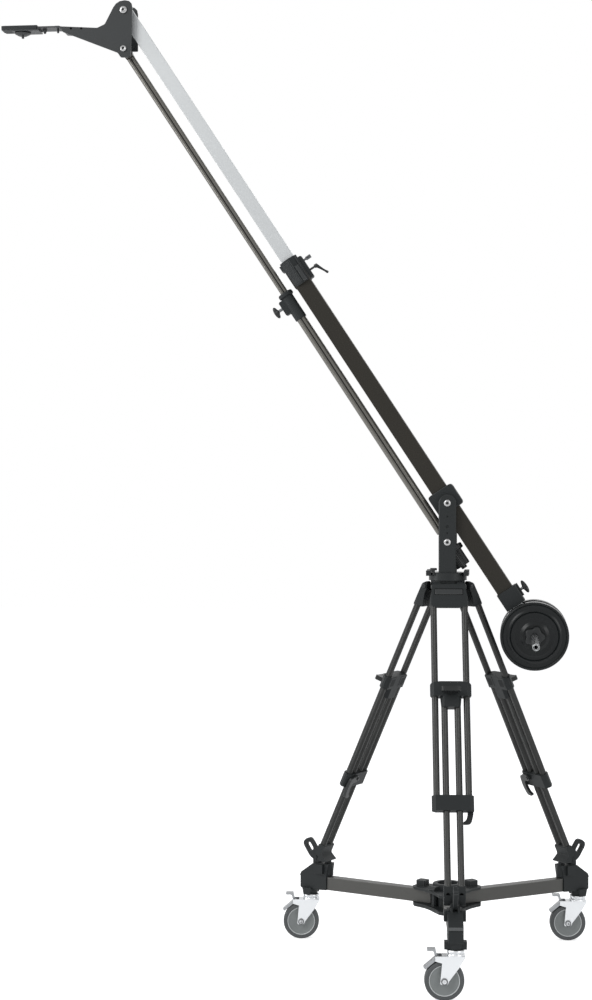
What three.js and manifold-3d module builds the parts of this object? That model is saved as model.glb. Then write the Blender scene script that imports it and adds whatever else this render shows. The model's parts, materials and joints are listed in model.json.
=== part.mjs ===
// Telescopic camera jib crane on a twin-tube tripod and a three-wheeled studio dolly.
// Millimetres, +Z up. The tripod axis is Z, the floor is Z = 0 and the arm swings in the XZ plane,
// with the camera head towards -X and the counterweights towards +X.
import * as THREE from 'three';
import { mergeVertices } from 'three/addons/utils/BufferGeometryUtils.js';
import Module from 'manifold-3d';

const wasm = await Module();
wasm.setup();

// Clearances and modelling values
const seat = 0.3;
const slideGap = 0.4;
const overrun = 3;
const weldDistance = 0.001;
const fineSides = 24;
const wheelSides = 22;
const coreSides = 18;
const roundSides = 12;
const pinSides = 8;
const nutSides = 6;

// Shares of the piece that carries them
const knobCrestShare = 0.8;
const wingRootShare = 0.7;
const eyeRootShare = 0.8;
const hubCatchShare = 1.6;

// Directions of the three legs and the pose of the arm, in degrees
const rightLegDegrees = 34.53;
const leftLegDegrees = 154.53;
const frontLegDegrees = 274.53;
const legTurns = { right: rightLegDegrees, left: leftLegDegrees, front: frontLegDegrees };
const armTiltDegrees = 56.72;
const clampLeanDegrees = 34;
const casterYawDegrees = 4.53;

// Casters
const wheelRadius = 50;
const tyreWidth = 30;
const tyreEdge = 4;
const rimRadius = 38;
const coreRecess = 3.5;
const forkInnerWidth = 33;
const axleRadius = 5;
const axleNutRadius = 8;
const axleNutHeight = 4;
const casterTrail = 28;
const forkWall = 3;
const forkTop = 112;
const forkFront = 23.6;
const forkBack = 51;
const forkTailDrop = 12;
const forkHeelWidth = 17;
const forkHeelDrop = 10;
const forkCheekDrop = 27;
const forkCheekReach = 9;
const raceRadius = 23;
const raceHeight = 14;
const raceGroove = 3;
const casterStemRadius = 6;
const casterStemLength = 38;
const brakePivotReach = 45;
const brakePivotDrop = 8;
const brakePinRadius = 2.5;
const brakeBarrelRadius = 5;
const brakeWidth = 24;
const brakePlate = 5;
const brakePadReach = 71;
const brakePadLength = 21;
const brakePadRise = 20;
const brakeShoeReach = 75;
const brakeShoeDrop = 21;

// Dolly
const dollyArmBottom = 144;
const dollyArmHeight = 36;
const dollyArmWidth = 30;
const dollyArmWall = 2.5;
const dollyArmStart = 44;
const hubPinReach = 76;
const hubPinRadius = 6;
const hubCoreRadius = 36;
const hubBoreRadius = 28;
const hubRingRadius = 40;
const hubRingHeight = 16;
const hubPlate = 7;
const hubFloor = 9;
const hubArmReach = 100;
const hubArmWidth = 48;
const hubWaistReach = 54;
const hubDishRadius = 58;
const hubDishDrop = 12;
const hubBossRadius = 8;
const hubBossReach = 42;
const hubLockSize = 28;
const hubLockHeight = 16;
const hubLockReach = 76;
const hubCatchReach = 52;
const hubCatchWidth = 16;
const hubCatchKnobRadius = 7;
const casterReach = 432;
const housingInboard = 60;
const housingOutboard = 24;
const housingStart = casterReach - housingInboard;
const housingEnd = casterReach + housingOutboard;
const housingBottom = 141;
const housingTop = 217;
const housingWidth = 38;
const housingNoseRise = 46;
const housingNoseReach = 42;
const housingOverhang = 5;
const spigotLength = 32;
const stemBossRadius = 20;
const stemBossBottom = 127;
const wingWidth = 56;
const wingLength = 26;
const wingHeight = 20;
const cheekWidth = 55;
const cheekInboard = 52;
const cheekStart = casterReach - cheekInboard;
const cheekLength = 26;
const cheekHeight = 28;
const cupRadius = 10.2;
const cupWall = 4.3;
const cupDepth = 15;
const cupWallDepth = 33;
const clampInboard = 22;
const clampPivotReach = casterReach - clampInboard;
const clampPivotRise = 10;
const clampPinRadius = 3.5;
const clampBarrelRadius = 8;
const clampThickness = 12;
const clampEarWall = 5;
const clampEarRadius = 9;
const clampLength = 64;
const clampLoopStart = 16;
const clampHalfWidth = 16;
const clampSlotHalfWidth = 7;
const clampSlotStart = 27;
const clampSlotEnd = 53;

// Tripod legs, along each leg from its hinge at the crown
const hingeReach = 50;
const hingeHeight = 1006;
const hingePinRadius = 3.5;
const hingeBarrelRadius = 6;
const hingeLugWidth = 44;
const shoulderWidth = 103;
const shoulderTopWidth = 88;
const shoulderInner = 42;
const shoulderInnerHip = 46;
const shoulderRise = 13;
const shoulderFootDrop = 49;
const shoulderLipDrop = 55;
const shoulderTop = hingeHeight + shoulderRise;
const shoulderFoot = hingeHeight - shoulderFootDrop;
const shoulderLip = hingeHeight - shoulderLipDrop;
const shoulderInnerFoot = 50;
const shoulderCrest = 46;
const shoulderHip = 55;
const shoulderHipDrop = 5;
const shoulderFlareStart = 8;
const shoulderFlareEnd = 34;
const shoulderInnerDrop = 8;
const shoulderSkin = 2.4;
const shoulderTopDrop = 5;
const shoulderLipWidth = 66;
const shoulderCorner = 8;
const pocketFloorDrop = 13;
const panelWidth = 76;
const panelTopDrop = 8;
const panelHeight = 18;
const panelDepth = 1.2;
const tubeRadius = 8.75;
const tubeInset = 2.7;
const outerSpacing = 82.5;
const innerSpacing = 34;
const outerTubeStart = 40;
const bracketWall = 4;
const bracketWidth = 108;
const sliderTop = 268;
const sliderHeight = 40;
const sliderCrown = 4;
const pocketWidth = 56;
const pocketHeight = 30;
const lowerTop = 573;
const lowerHeight = 40;
const footCastingLength = 62.06987;
const innerTubeSink = 24;
const footInboard = 56;
const footReach = casterReach - footInboard;
const footSetback = 33.56802;
const footRadius = 9;
const footTipGap = 0.3;
const footCastingWidth = 55;
const footCastingInner = -2;
const footCastingOuter = 15;
const footCastingBase = 12;
const footCastingShelf = 26;
const footNeckHeight = 8;
const legKnobDrop = 30;
const legKnobHubRadius = 9;
const legKnobHub = 14;
const legKnobSpan = 54;
const legKnobBlade = 12;
const legKnobDepth = 26;
const legLeverSide = 16;
const legLeverDrop = 12;
const legLeverHub = 10;
const legLeverThickness = 8;
const legLeverReach = 34;
const legLeverFall = 58;
const legLeverWidth = 11;
const legLeverHook = 10;
const leverScrewRadius = 5;
const leverScrewHeight = 3;

// Crown and pan base
const crownCoreRadius = 42;
const crownTopRadius = 44;
const crownTopHeight = 13;
const crownRise = 9.7;
const crownDomeDrop = 58;
const crownTop = hingeHeight + crownRise;
const crownDomeBottom = hingeHeight - crownDomeDrop;
const crownDomeHeight = 12;
const crownDomeRadius = 26;
const lugHeight = 14;
const hingePinLength = 92;
const panBaseRadius = 46;
const panBaseHeight = 6;
const panSpindleRadius = 12;
const panSpindleHeight = 12;
const panBevel = 1.5;

// Pedestal
const pivotRise = 224;
const pivotHeight = hingeHeight + pivotRise;
const boltSpacing = 105;
const panDiscRadius = 51;
const panDiscRise = 37;
const panDiscTop = hingeHeight + panDiscRise;
const uprightHalfWidth = 23.5;
const uprightInner = 30;
const uprightThickness = 14;
const uprightBevel = 3;
const deckLugReach = 57;
const deckLugRoot = 44;
const deckLugWidth = 22;
const deckLugHeight = 14;
const deckLugRise = 29;
const deckLugBottom = hingeHeight + deckLugRise;
const tiltAxleRadius = 8;
const rodAxleRadius = 7;
const boltHeadRadius = 9.5;
const boltHeadHeight = 4;
const boltSocketRadius = 4;
const boltSocketDepth = 2;
const gaugeHoleRadius = 4.5;
const gaugeHoleDrop = 63;
const gaugeHoleHeight = pivotHeight - gaugeHoleDrop;
const smallHoleRadius = 2.5;
const smallHoleDrops = { lower: 80, upper: 36 };
const gaugeHoleDepth = 3;
const panLockReach = 37;
const panLockLength = 18;
const panLockWidth = 11;
const panLockHeight = 13;
const panLockStemRadius = 4;
const panLockStem = 6;

// Arm, from the tilt axle to the camera head
const armTubeSize = 46;
const armTubeWall = 3;
const armTubeRear = 310;
const armTubeFront = 740;
const innerTubeSize = 38;
const innerTubeWall = 2.5;
const innerTubeRear = 560;
const headReach = 1605;
const armEyeLength = 34;
const armEyeSpigot = 30;
const saddleFront = 41;
const saddleRear = 22;
const saddleTop = 37.5;
const saddleBottom = 38;
const saddleHalfWidth = 29;
const saddleCorner = 9;
const collarRear = 712;
const collarFront = 789;
const collarBottom = 26;
const collarTop = 25;
const collarHalfWidth = 33;
const collarFlat = 20;
const collarLipTop = 35.5;
const collarLipRear = 713;
const collarLipFront = 780;
const collarLipHalfWidth = 15;
const collarSlit = 2;
const collarRibHeight = 1.5;
const collarRibLength = 50;
const collarRibWidth = 11;
const collarRibOffset = 11;
const collarLugLength = 16;
const collarLugStart = 768;
const collarLugDrop = 5;
const ratchetReach = 735;
const ratchetPostRadius = 3;
const ratchetPostHeight = 23;
const ratchetHubRadius = 5.5;
const ratchetHubHeight = 9;
const ratchetHandleRadius = 2.8;
const ratchetHandleLength = 31;
const ratchetHandleRise = 12;
const ratchetKnobRadius = 4;
const thumbReach = 766;
const thumbStemRadius = 3;
const thumbStemHeight = 6;
const thumbHeadRadius = 4.5;
const thumbHeadHeight = 16;
const thumbCapRadius = 6;
const thumbCapHeight = 5;
const rearBlockFront = 281;
const rearBlockRear = 331;
const rearBlockBottom = 26.6;
const rearBlockTop = 31;
const rearBlockHalfWidth = 30;
const rearBlockCorner = 5;
const rearBossTop = 36.5;
const rearBossLength = 37;
const rearBossHalfWidth = 14;
const rearKnobReach = 301;
const rearKnobStem = 8;
const rearKnobStemRadius = 4;
const rearKnobHubRadius = 8;
const rearKnobSpan = 38;
const rearKnobBlade = 9;
const rearKnobHeight = 10;

// Counterweights
const shaftReach = 423;
const tailFront = 150;
const tailOverhang = 23;
const tailRear = shaftReach + tailOverhang;
const shaftRadius = 9;
const shaftBoreRadius = 5.5;
const shaftHalfLength = 406;
const discInner = 33;
const discWidth = 36;
const discRadius = 91.5;
const discEdge = 4;
const discRingRadius = 67;
const discDish = 3;
const discHubRadius = 32;
const starRadius = 25;
const starLobe = 3;
const starLobes = 5;
const starLobeSteps = 6;
const starWidth = 21;
const starHubRadius = 15;
const starHubWidth = 6;

// Parallelogram rod, from its rear axle to its front one
const rodOuterRadius = 13.5;
const rodInnerRadius = 11;
const rodOuterEnd = 800;
const rodInnerRear = 560;
const rodBoreStart = 46;
const rodEyeRadius = 16;
const rodEyeHalfWidth = 16;
const rodEyeNeck = 24;
const frontEyeRadius = 14;
const frontEyeHalfWidth = 14;
const frontEyeNeck = 22;
const openPivotGap = 1;
const clampSleeveStart = 725;
const clampSleeveRadius = 16.5;
const clampRingStart = 796;
const clampRingEnd = 808;
const clampRingRadius = 21;
const clampBlockStart = 752;
const clampBlockEnd = 794;
const clampBlockDrop = 29.4;
const clampBlockHalfWidth = 10;
const rodKnobReach = 775;
const rodKnobStem = 13;
const rodKnobStemRadius = 4;
const rodKnobHubRadius = 8;
const rodKnobSpan = 34;
const rodKnobBlade = 8;
const rodKnobHeight = 12;
const levelFlangeRadius = 28.6;
const levelFlangeStart = 17;
const levelFlangeEnd = 33;
const levelSleeveRadius = 20;
const levelSleeveEnd = 77;
const levelStudRadius = 8;
const levelStudEnd = 84;
const levelSpindleRadius = 6;
const levelSpindleEnd = 60;

// Camera head, from its upper axle
const plateHalfGap = 36;
const plateThickness = 5;
const headAxleRadius = 8;
const headSpacerRadius = 12;
const headCapRadius = 10;
const headCapHeight = 6;
const rodCapRadius = 8.5;
const rodCollarWidth = 5;
const headCrestRise = 26;
const headCrestReach = 25;
const headCrestFront = 18.5;
const headCrestRound = 21;
const farPlateReach = 125;
const farPlateTop = 44;
const farPlateBottom = 54;
const farPlateFoot = 97;
const headNotchReach = 52;
const headNotchDrop = 37.5;
const headShelfReach = 73;
const headShelfDrop = 47;
const headTipReach = 173;
const headTipTop = 40.5;
const headTipBottom = 55;
const headHeelReach = 16;
const headHeelDrop = 116;
const headFootDrop = 129;
const headFootFront = 20;
const deckTop = 41;
const deckThickness = 7;
const deckHalfWidth = 38.5;
const deckRear = 85;
const deckShoulder = 160;
const tongueTop = 35;
const tongueThickness = 4;
const tongueRoot = 166;
const tongueRise = 182;
const tongueHalfWidth = 25;
const tongueStep = 243;
const tongueEnd = 316;
const shoePlate = 4;
const shoeWall = 3;
const conePegReach = 228;
const conePegRadius = 7;
const conePegTip = 3;
const conePegDrop = 50;
const smallPegReach = 191;
const smallPegRadius = 3;
const smallPegDrop = 49;
const stopLength = 12;
const stopWidth = 24;
const stopHeight = 3.5;
const cameraPlateRear = 244;
const cameraPlateFront = 346;
const cameraPlateHalfWidth = 27;
const cameraPlateTop = 31.5;
const cameraPlateBottom = 41.5;
const cameraPlateCorner = 9;
const cameraScrewReach = 290;
const cameraScrewRadius = 4.7;
const cameraKnobRadius = 23;
const cameraKnobHeight = 9;
const cameraPegRadius = 3.5;
const cameraPegDrop = 62;
const cameraRailWidth = 5;
const cameraRailInset = 6;
const cameraRailDepth = 2;

// Angles in radians and places that follow
const degree = Math.PI / 180;
const armTilt = armTiltDegrees * degree;
const legAngle = Math.atan2(footReach + footSetback - hingeReach, hingeHeight - housingTop);
const legLength = (hingeHeight - housingTop) / Math.cos(legAngle);
const footCastingTop = legLength - footCastingLength;
const dollyArmTop = dollyArmBottom + dollyArmHeight;
const sliderBottom = sliderTop + sliderHeight;
const lowerBottom = lowerTop + lowerHeight;
const bracketHalfDepth = tubeRadius + bracketWall;
const leverPivotHeight = housingTop + clampPivotRise;
const rodPivotHeight = pivotHeight - boltSpacing;
const headHeight = pivotHeight + headReach * Math.sin(armTilt);
const headPlace = -headReach * Math.cos(armTilt);

// Finishes, one material for each look
function finish(color, roughness, metalness) {
  return () => new THREE.MeshStandardMaterial({ color, roughness, metalness, flatShading: true });
}
const blackCasting = finish(0x34383a, 0.55, 0.2);
const greyCasting = finish(0x4a4e50, 0.5, 0.3);
const bronzeTube = finish(0x3d3a34, 0.4, 0.6);
const silverTube = finish(0xd4d8da, 0.25, 0.9);
const rodTube = finish(0x5a564e, 0.35, 0.7);
const legTube = finish(0x555754, 0.4, 0.6);
const zinc = finish(0xe2e5e8, 0.3, 0.9);
const greyRubber = finish(0x5c5f60, 0.8, 0);
const brightSteel = finish(0xc8cacc, 0.2, 1);
const blackPlastic = finish(0x25282a, 0.5, 0);
const castIron = finish(0x232627, 0.5, 0.4);

// Solids: every shape is a three.js geometry, and only joins and cuts pass through the library
function toSolid(geometry) {
  const bare = geometry.index ? geometry.toNonIndexed() : geometry.clone();
  bare.deleteAttribute('normal');
  bare.deleteAttribute('uv');
  const merged = mergeVertices(bare, weldDistance);
  const places = merged.attributes.position.array;
  const corners = new Uint32Array(merged.index.array);
  const built = new wasm.Manifold(new wasm.Mesh({ numProp: 3, vertProperties: places, triVerts: corners }));
  if (built.volume() > 0) return built;
  for (let i = 0; i < corners.length; i += 3) [corners[i], corners[i + 1]] = [corners[i + 1], corners[i]];
  return new wasm.Manifold(new wasm.Mesh({ numProp: 3, vertProperties: places, triVerts: corners }));
}

function toGeometry(solid) {
  const mesh = solid.getMesh();
  const geometry = new THREE.BufferGeometry();
  geometry.setAttribute('position', new THREE.Float32BufferAttribute(mesh.vertProperties, 3));
  geometry.setIndex([...mesh.triVerts]);
  return geometry;
}

function join(first, ...others) {
  return toGeometry(others.reduce((sum, other) => sum.add(toSolid(other)), toSolid(first)));
}

function cut(first, ...tools) {
  return toGeometry(tools.reduce((rest, tool) => rest.subtract(toSolid(tool)), toSolid(first)));
}

function common(first, second) {
  return toGeometry(toSolid(first).intersect(toSolid(second)));
}

// A box between two corners, given as its two limits along x, y and z
function box(x0, x1, y0, y1, z0, z1) {
  const geometry = new THREE.BoxGeometry(x1 - x0, y1 - y0, z1 - z0);
  return geometry.translate((x0 + x1) / 2, (y0 + y1) / 2, (z0 + z1) / 2);
}

// A round bar, or a cone, from one place to another
function bar(radius, start, end, sides = roundSides, endRadius = radius) {
  const from = new THREE.Vector3(...start);
  const to = new THREE.Vector3(...end);
  const along = to.clone().sub(from);
  const geometry = new THREE.CylinderGeometry(endRadius, radius, along.length(), sides);
  const up = new THREE.Vector3(0, 1, 0);
  geometry.applyQuaternion(new THREE.Quaternion().setFromUnitVectors(up, along.normalize()));
  return geometry.translate(...from.add(to).multiplyScalar(1 / 2).toArray());
}

// The tool for a hole whose flats keep clear of a radius
function hole(radius, start, end, sides = roundSides) {
  return bar(radius / Math.cos(Math.PI / sides), start, end, sides);
}

// A turned form: a profile of [radius, distance] pairs about a line that starts at a place
function turned(profile, start, direction, sides = roundSides) {
  const geometry = new THREE.LatheGeometry(profile.map(([r, t]) => new THREE.Vector2(r, t)), sides);
  const up = new THREE.Vector3(0, 1, 0);
  geometry.applyQuaternion(new THREE.Quaternion().setFromUnitVectors(up, new THREE.Vector3(...direction)));
  return geometry.translate(...start);
}

// An outline of [x, y, corner radius] points with its corners rounded
function outline(points) {
  const shape = new THREE.Shape();
  points.forEach(([x, y, radius = 0], i) => {
    const corner = new THREE.Vector2(x, y);
    const before = new THREE.Vector2(...points.at(i - 1));
    const after = new THREE.Vector2(...points[(i + 1) % points.length]);
    const near = corner.clone().add(before.sub(corner).setLength(radius));
    const far = corner.clone().add(after.sub(corner).setLength(radius));
    if (i === 0) shape.moveTo(near.x, near.y);
    else shape.lineTo(near.x, near.y);
    if (radius > 0) shape.quadraticCurveTo(corner.x, corner.y, far.x, far.y);
  });
  shape.closePath();
  return shape;
}

function slab(shape, thickness, curveSegments) {
  return new THREE.ExtrudeGeometry(shape, { depth: thickness, bevelEnabled: false, curveSegments });
}

// Slabs of an outline: lying in XY, standing in XZ, or standing in YZ, between two limits
function flatSlab(points, z0, z1, curveSegments = 1) {
  return slab(outline(points), z1 - z0, curveSegments).translate(0, 0, z0);
}

function sideSlab(points, y0, y1, curveSegments = 1) {
  return slab(outline(points), y1 - y0, curveSegments).rotateX(Math.PI / 2).translate(0, y1, 0);
}

function frontSlab(points, x0, x1, curveSegments = 1) {
  const turn = new THREE.Matrix4().makeBasis(
    new THREE.Vector3(0, 1, 0), new THREE.Vector3(0, 0, 1), new THREE.Vector3(1, 0, 0));
  return slab(outline(points), x1 - x0, curveSegments).applyMatrix4(turn).translate(x0, 0, 0);
}

// A square tube along x
function squareTube(size, wall, x0, x1) {
  const half = size / 2;
  const bore = half - wall;
  return cut(box(x0, x1, -half, half, -half, half),
    box(x0 - overrun, x1 + overrun, -bore, bore, -bore, bore));
}

const crane = new THREE.Group();

function place(name, geometry, material, parent = crane) {
  const mesh = new THREE.Mesh(toGeometry(toSolid(geometry)), material());
  mesh.name = name;
  parent.add(mesh);
  return mesh;
}

// Caster, about its swivel axis, with the wheel trailing towards -x
function casterWheel() {
  const half = tyreWidth / 2;
  const web = half - coreRecess;
  const bore = axleRadius + slideGap;
  const side = [[bore, web], [rimRadius, web], [rimRadius + coreRecess, half], [wheelRadius - tyreEdge, half],
    [wheelRadius, half - tyreEdge]];
  const far = side.map(([r, t]) => [r, -t]).reverse();
  return turned([...side, ...far, side[0]], [-casterTrail, 0, wheelRadius], [0, -1, 0], wheelSides);
}

function casterFork() {
  const inner = forkInnerWidth / 2;
  const outer = inner + forkWall;
  const cheekTop = forkTop - forkTailDrop;
  const heelReach = forkBack - forkHeelWidth;
  const cheek = [[-forkBack, forkTop], [-forkBack, cheekTop], [-heelReach, cheekTop - forkHeelDrop / 2],
    [-casterTrail - axleNutRadius - forkWall, wheelRadius - axleNutRadius, forkWall],
    [-casterTrail + axleNutRadius, wheelRadius - axleNutRadius, forkWall],
    [-casterTrail + axleNutRadius + forkWall, wheelRadius],
    [forkCheekReach, forkTop - forkCheekDrop], [forkFront, forkTop - forkWall], [forkFront, forkTop]];
  const shell = cut(sideSlab(cheek, -outer, outer),
    box(-forkBack - overrun, forkFront + overrun, -inner, inner, 0, forkTop - forkWall),
    box(-forkBack - overrun, -heelReach, -inner, inner, 0, forkTop + overrun));
  const raceBase = forkTop - forkWall / 2;
  const raceTop = forkTop + raceHeight;
  const groove = raceRadius - raceGroove;
  const race = turned([[0, raceBase], [raceRadius, raceBase], [raceRadius, forkTop + raceHeight / 3],
    [groove, forkTop + raceHeight / 2], [raceRadius, raceTop - raceHeight / 3], [0, raceTop]],
  [0, 0, 0], [0, 0, 1]);
  const stem = bar(casterStemRadius, [0, 0, forkTop], [0, 0, forkTop + casterStemLength], pinSides);
  const reach = outer + axleNutHeight;
  const axle = bar(axleRadius, [-casterTrail, -reach, wheelRadius], [-casterTrail, reach, wheelRadius],
    pinSides);
  const nuts = [-1, 1].map((side) => bar(axleNutRadius, [-casterTrail, side * (outer - seat), wheelRadius],
    [-casterTrail, side * reach, wheelRadius], nutSides));
  const brakePin = bar(brakePinRadius, [-brakePivotReach, -outer, forkTop - brakePivotDrop],
    [-brakePivotReach, outer, forkTop - brakePivotDrop], pinSides);
  return join(shell, race, stem, axle, ...nuts, brakePin);
}

function casterBrake() {
  const pivotHeightHere = forkTop - brakePivotDrop;
  const half = brakeWidth / 2;
  const padTop = pivotHeightHere + brakePadRise + brakePlate;
  const padEnd = -brakePadReach + brakePadLength;
  const pad = sideSlab([[-brakePadReach, padTop], [-brakePadReach, padTop - brakePlate],
    [padEnd - brakePlate, padTop - brakePlate, brakePlate / 2],
    [-brakePivotReach - brakePlate, pivotHeightHere],
    [-brakePivotReach, pivotHeightHere], [padEnd, padTop]], -half, half);
  const shoeBottom = pivotHeightHere - brakeShoeDrop;
  const shoe = sideSlab([[-brakePivotReach, pivotHeightHere + brakeBarrelRadius],
    [-brakePivotReach - brakePlate, pivotHeightHere + brakeBarrelRadius],
    [-brakeShoeReach - brakePlate, shoeBottom],
    [-brakeShoeReach, shoeBottom - brakePlate], [-brakePivotReach - brakePlate,
    pivotHeightHere - brakePlate]],
  -half, half);
  const barrel = bar(brakeBarrelRadius, [-brakePivotReach, -half, pivotHeightHere],
    [-brakePivotReach, half, pivotHeightHere], pinSides);
  const bore = hole(brakePinRadius + seat, [-brakePivotReach, -half - overrun, pivotHeightHere],
    [-brakePivotReach, half + overrun, pivotHeightHere], pinSides);
  return cut(join(pad, shoe, barrel), bore);
}

// Dolly arm with its end housing, along x from the tripod axis
function dollyArm() {
  const half = dollyArmWidth / 2;
  const end = housingStart - seat;
  const bore = half - dollyArmWall;
  const tube = cut(box(dollyArmStart, end, -half, half, dollyArmBottom, dollyArmTop),
    box(dollyArmStart - overrun, end + overrun, -bore, bore,
      dollyArmBottom + dollyArmWall, dollyArmTop - dollyArmWall));
  return cut(tube, hole(hubPinRadius + seat, [hubPinReach, 0, dollyArmBottom - overrun],
    [hubPinReach, 0, dollyArmTop + overrun], pinSides));
}

function dollyEnd() {
  const half = housingWidth / 2;
  const spigot = dollyArmWall + seat;
  const spigotHalf = dollyArmWidth / 2 - spigot;
  const body = sideSlab([[housingStart, housingBottom + forkWall],
    [housingEnd - stemBossRadius, housingBottom],
    [housingEnd, housingBottom + forkWall, forkWall], [housingEnd, housingBottom + housingNoseRise, forkWall],
    [housingEnd - housingNoseReach, housingTop, forkWall], [housingStart - housingOverhang, housingTop],
    [housingStart, dollyArmTop + forkWall]], -half, half);
  const nose = box(housingStart - spigotLength, housingStart + spigot, -spigotHalf, spigotHalf,
    dollyArmBottom + spigot, dollyArmTop - spigot);
  const cupPost = bar(cupRadius + cupWall, [footReach, 0, housingTop - cupWallDepth],
    [footReach, 0, housingTop]);
  const cup = hole(cupRadius, [footReach, 0, housingTop - cupDepth], [footReach, 0, housingTop + overrun]);
  const cheekEnd = cheekStart + cheekLength;
  const cheek = box(cheekStart, cheekEnd, -cheekWidth / 2, cheekWidth / 2, housingTop - cheekHeight,
    housingTop - forkWall / 2);
  const wing = sideSlab([[casterReach - wingLength / 2, stemBossBottom + wingHeight],
    [casterReach - wingLength / 3, stemBossBottom + seat], [casterReach + wingLength / 3,
    stemBossBottom + seat],
    [casterReach + wingLength / 2, stemBossBottom + wingHeight]], -wingWidth / 2, wingWidth / 2);
  const boss = bar(stemBossRadius - forkWall, [casterReach, 0, stemBossBottom],
    [casterReach, 0, stemBossBottom + wingHeight], roundSides, stemBossRadius);
  const stemHole = hole(casterStemRadius + slideGap, [casterReach, 0, stemBossBottom - overrun],
    [casterReach, 0, forkTop + casterStemLength + overrun], pinSides);
  const earInner = clampThickness / 2 + slideGap;
  const ears = [-1, 1].map((side) => sideSlab([
    [clampPivotReach - clampEarRadius, housingTop - clampEarRadius],
    [clampPivotReach - clampEarRadius, leverPivotHeight + clampEarRadius, clampEarRadius],
    [clampPivotReach + clampEarRadius, leverPivotHeight + clampEarRadius, clampEarRadius],
    [clampPivotReach + clampEarRadius, housingTop - clampEarRadius]],
  side > 0 ? earInner : -earInner - clampEarWall, side > 0 ? earInner + clampEarWall : -earInner));
  const pinHalf = earInner + clampEarWall + forkWall / 2;
  const pin = bar(clampPinRadius, [clampPivotReach, -pinHalf, leverPivotHeight],
    [clampPivotReach, pinHalf, leverPivotHeight], pinSides);
  return cut(join(body, nose, cupPost, cheek, wing, boss, ...ears, pin), cup, stemHole);
}

// Loop lever that clamps a foot, standing on its pivot
function clampLever() {
  const half = clampThickness / 2;
  const corner = clampHalfWidth - forkWall / 2;
  const plate = sideSlab([[-clampBarrelRadius, 0], [-clampHalfWidth, clampLoopStart, clampBarrelRadius],
    [-clampHalfWidth, clampLength, corner], [clampHalfWidth, clampLength, corner],
    [clampHalfWidth, clampLoopStart, clampBarrelRadius], [clampBarrelRadius, 0]], -half, half, 3);
  const barrel = bar(clampBarrelRadius, [0, -half, 0], [0, half, 0]);
  const round = clampSlotHalfWidth - seat;
  const slot = sideSlab([[-clampSlotHalfWidth, clampSlotStart, round],
    [-clampSlotHalfWidth, clampSlotEnd, round],
    [clampSlotHalfWidth, clampSlotEnd, round], [clampSlotHalfWidth, clampSlotStart, round]],
  -half - overrun, half + overrun, 3);
  const bore = hole(clampPinRadius + seat, [0, -half - overrun, 0], [0, half + overrun, 0], pinSides);
  return cut(join(plate, barrel), slot, bore);
}

// Hub: two star plates round a hollow collar, with an arm pin, a lock block and a web for each arm
function dollyHub() {
  const directions = Object.values(legTurns).map((angle) => angle * degree);
  const step = directions[1] - directions[0];
  const star = directions.flatMap((angle) => {
    const [c, s] = [Math.cos(angle), Math.sin(angle)];
    const half = hubArmWidth / 2;
    const middle = angle + step / 2;
    return [[hubArmReach * c + half * s, hubArmReach * s - half * c, half / 2],
      [hubArmReach * c - half * s, hubArmReach * s + half * c, half / 2],
      [hubWaistReach * Math.cos(middle), hubWaistReach * Math.sin(middle), half]];
  });
  const top = dollyArmTop + seat;
  const plateTop = top + hubPlate;
  const floor = dollyArmBottom - seat;
  const floorBottom = floor - hubFloor;
  const topPlate = flatSlab(star, top, plateTop);
  const bottomPlate = flatSlab(star, floorBottom, floor);
  const ringTop = plateTop + hubRingHeight;
  const rim = hubRingRadius - hubBoreRadius;
  const core = turned([[hubBoreRadius, floorBottom - hubDishDrop], [hubCoreRadius, floorBottom - hubDishDrop],
    [hubDishRadius, floorBottom + seat], [hubCoreRadius, floor], [hubCoreRadius, plateTop - seat],
    [hubRingRadius, plateTop], [hubRingRadius, ringTop - rim / 4], [hubRingRadius - rim / 4, ringTop],
    [hubBoreRadius, ringTop], [hubBoreRadius, floorBottom - hubDishDrop]], [0, 0, 0], [0, 0, 1], coreSides);
  const lockHalf = hubLockSize / 2;
  const [lockIn, lockOut] = [hubLockReach - lockHalf, hubLockReach + lockHalf];
  const parts = directions.flatMap((angle) => {
    const pin = bar(hubPinRadius, [hubPinReach, 0, floorBottom], [hubPinReach, 0, plateTop], pinSides);
    const lock = flatSlab([[lockIn, -lockHalf, forkWall], [lockOut, -lockHalf, forkWall],
      [lockOut, lockHalf, forkWall], [lockIn, lockHalf, forkWall]], plateTop - seat,
      plateTop + hubLockHeight);
    const boss = bar(hubBossRadius, [hubBossReach, 0, floorBottom], [hubBossReach, 0, plateTop], pinSides);
    return [pin.rotateZ(angle), lock.rotateZ(angle), boss.rotateZ(angle + step / 2)];
  });
  const catchHalf = hubCatchWidth / 2;
  const catchTop = plateTop + hubRingHeight - catchHalf / 2;
  const catchArm = box(hubBoreRadius + rim / 2, hubCatchReach, -catchHalf, catchHalf, plateTop - seat,
    catchTop);
  const knob = bar(hubCatchKnobRadius, [hubCatchReach, -catchHalf - hubCatchKnobRadius, catchTop - catchHalf],
    [hubCatchReach, catchHalf, catchTop - catchHalf], pinSides);
  const catchAngle = directions[0] + step * hubCatchShare;
  const boreBottom = floorBottom - hubDishDrop - overrun;
  const bore = bar(hubBoreRadius, [0, 0, boreBottom], [0, 0, ringTop + overrun], coreSides);
  const whole = join(core, topPlate, bottomPlate, ...parts, catchArm.rotateZ(catchAngle),
    knob.rotateZ(catchAngle));
  return cut(whole, bore);
}

// Leg frames: x outward across the leg, y along its hinge pin, z up the leg
function intoLeg(reach, height, radius = 0) {
  const dx = reach - hingeReach;
  const dz = height - hingeHeight;
  const [c, s] = [Math.cos(legAngle), Math.sin(legAngle)];
  return [dx * c + dz * s, dz * c - dx * s, radius];
}

function legTubePair(spacing, start, end) {
  return [-1, 1].map((side) => bar(tubeRadius, [-tubeInset, side * spacing / 2, -end],
    [-tubeInset, side * spacing / 2, -start]));
}

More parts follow.
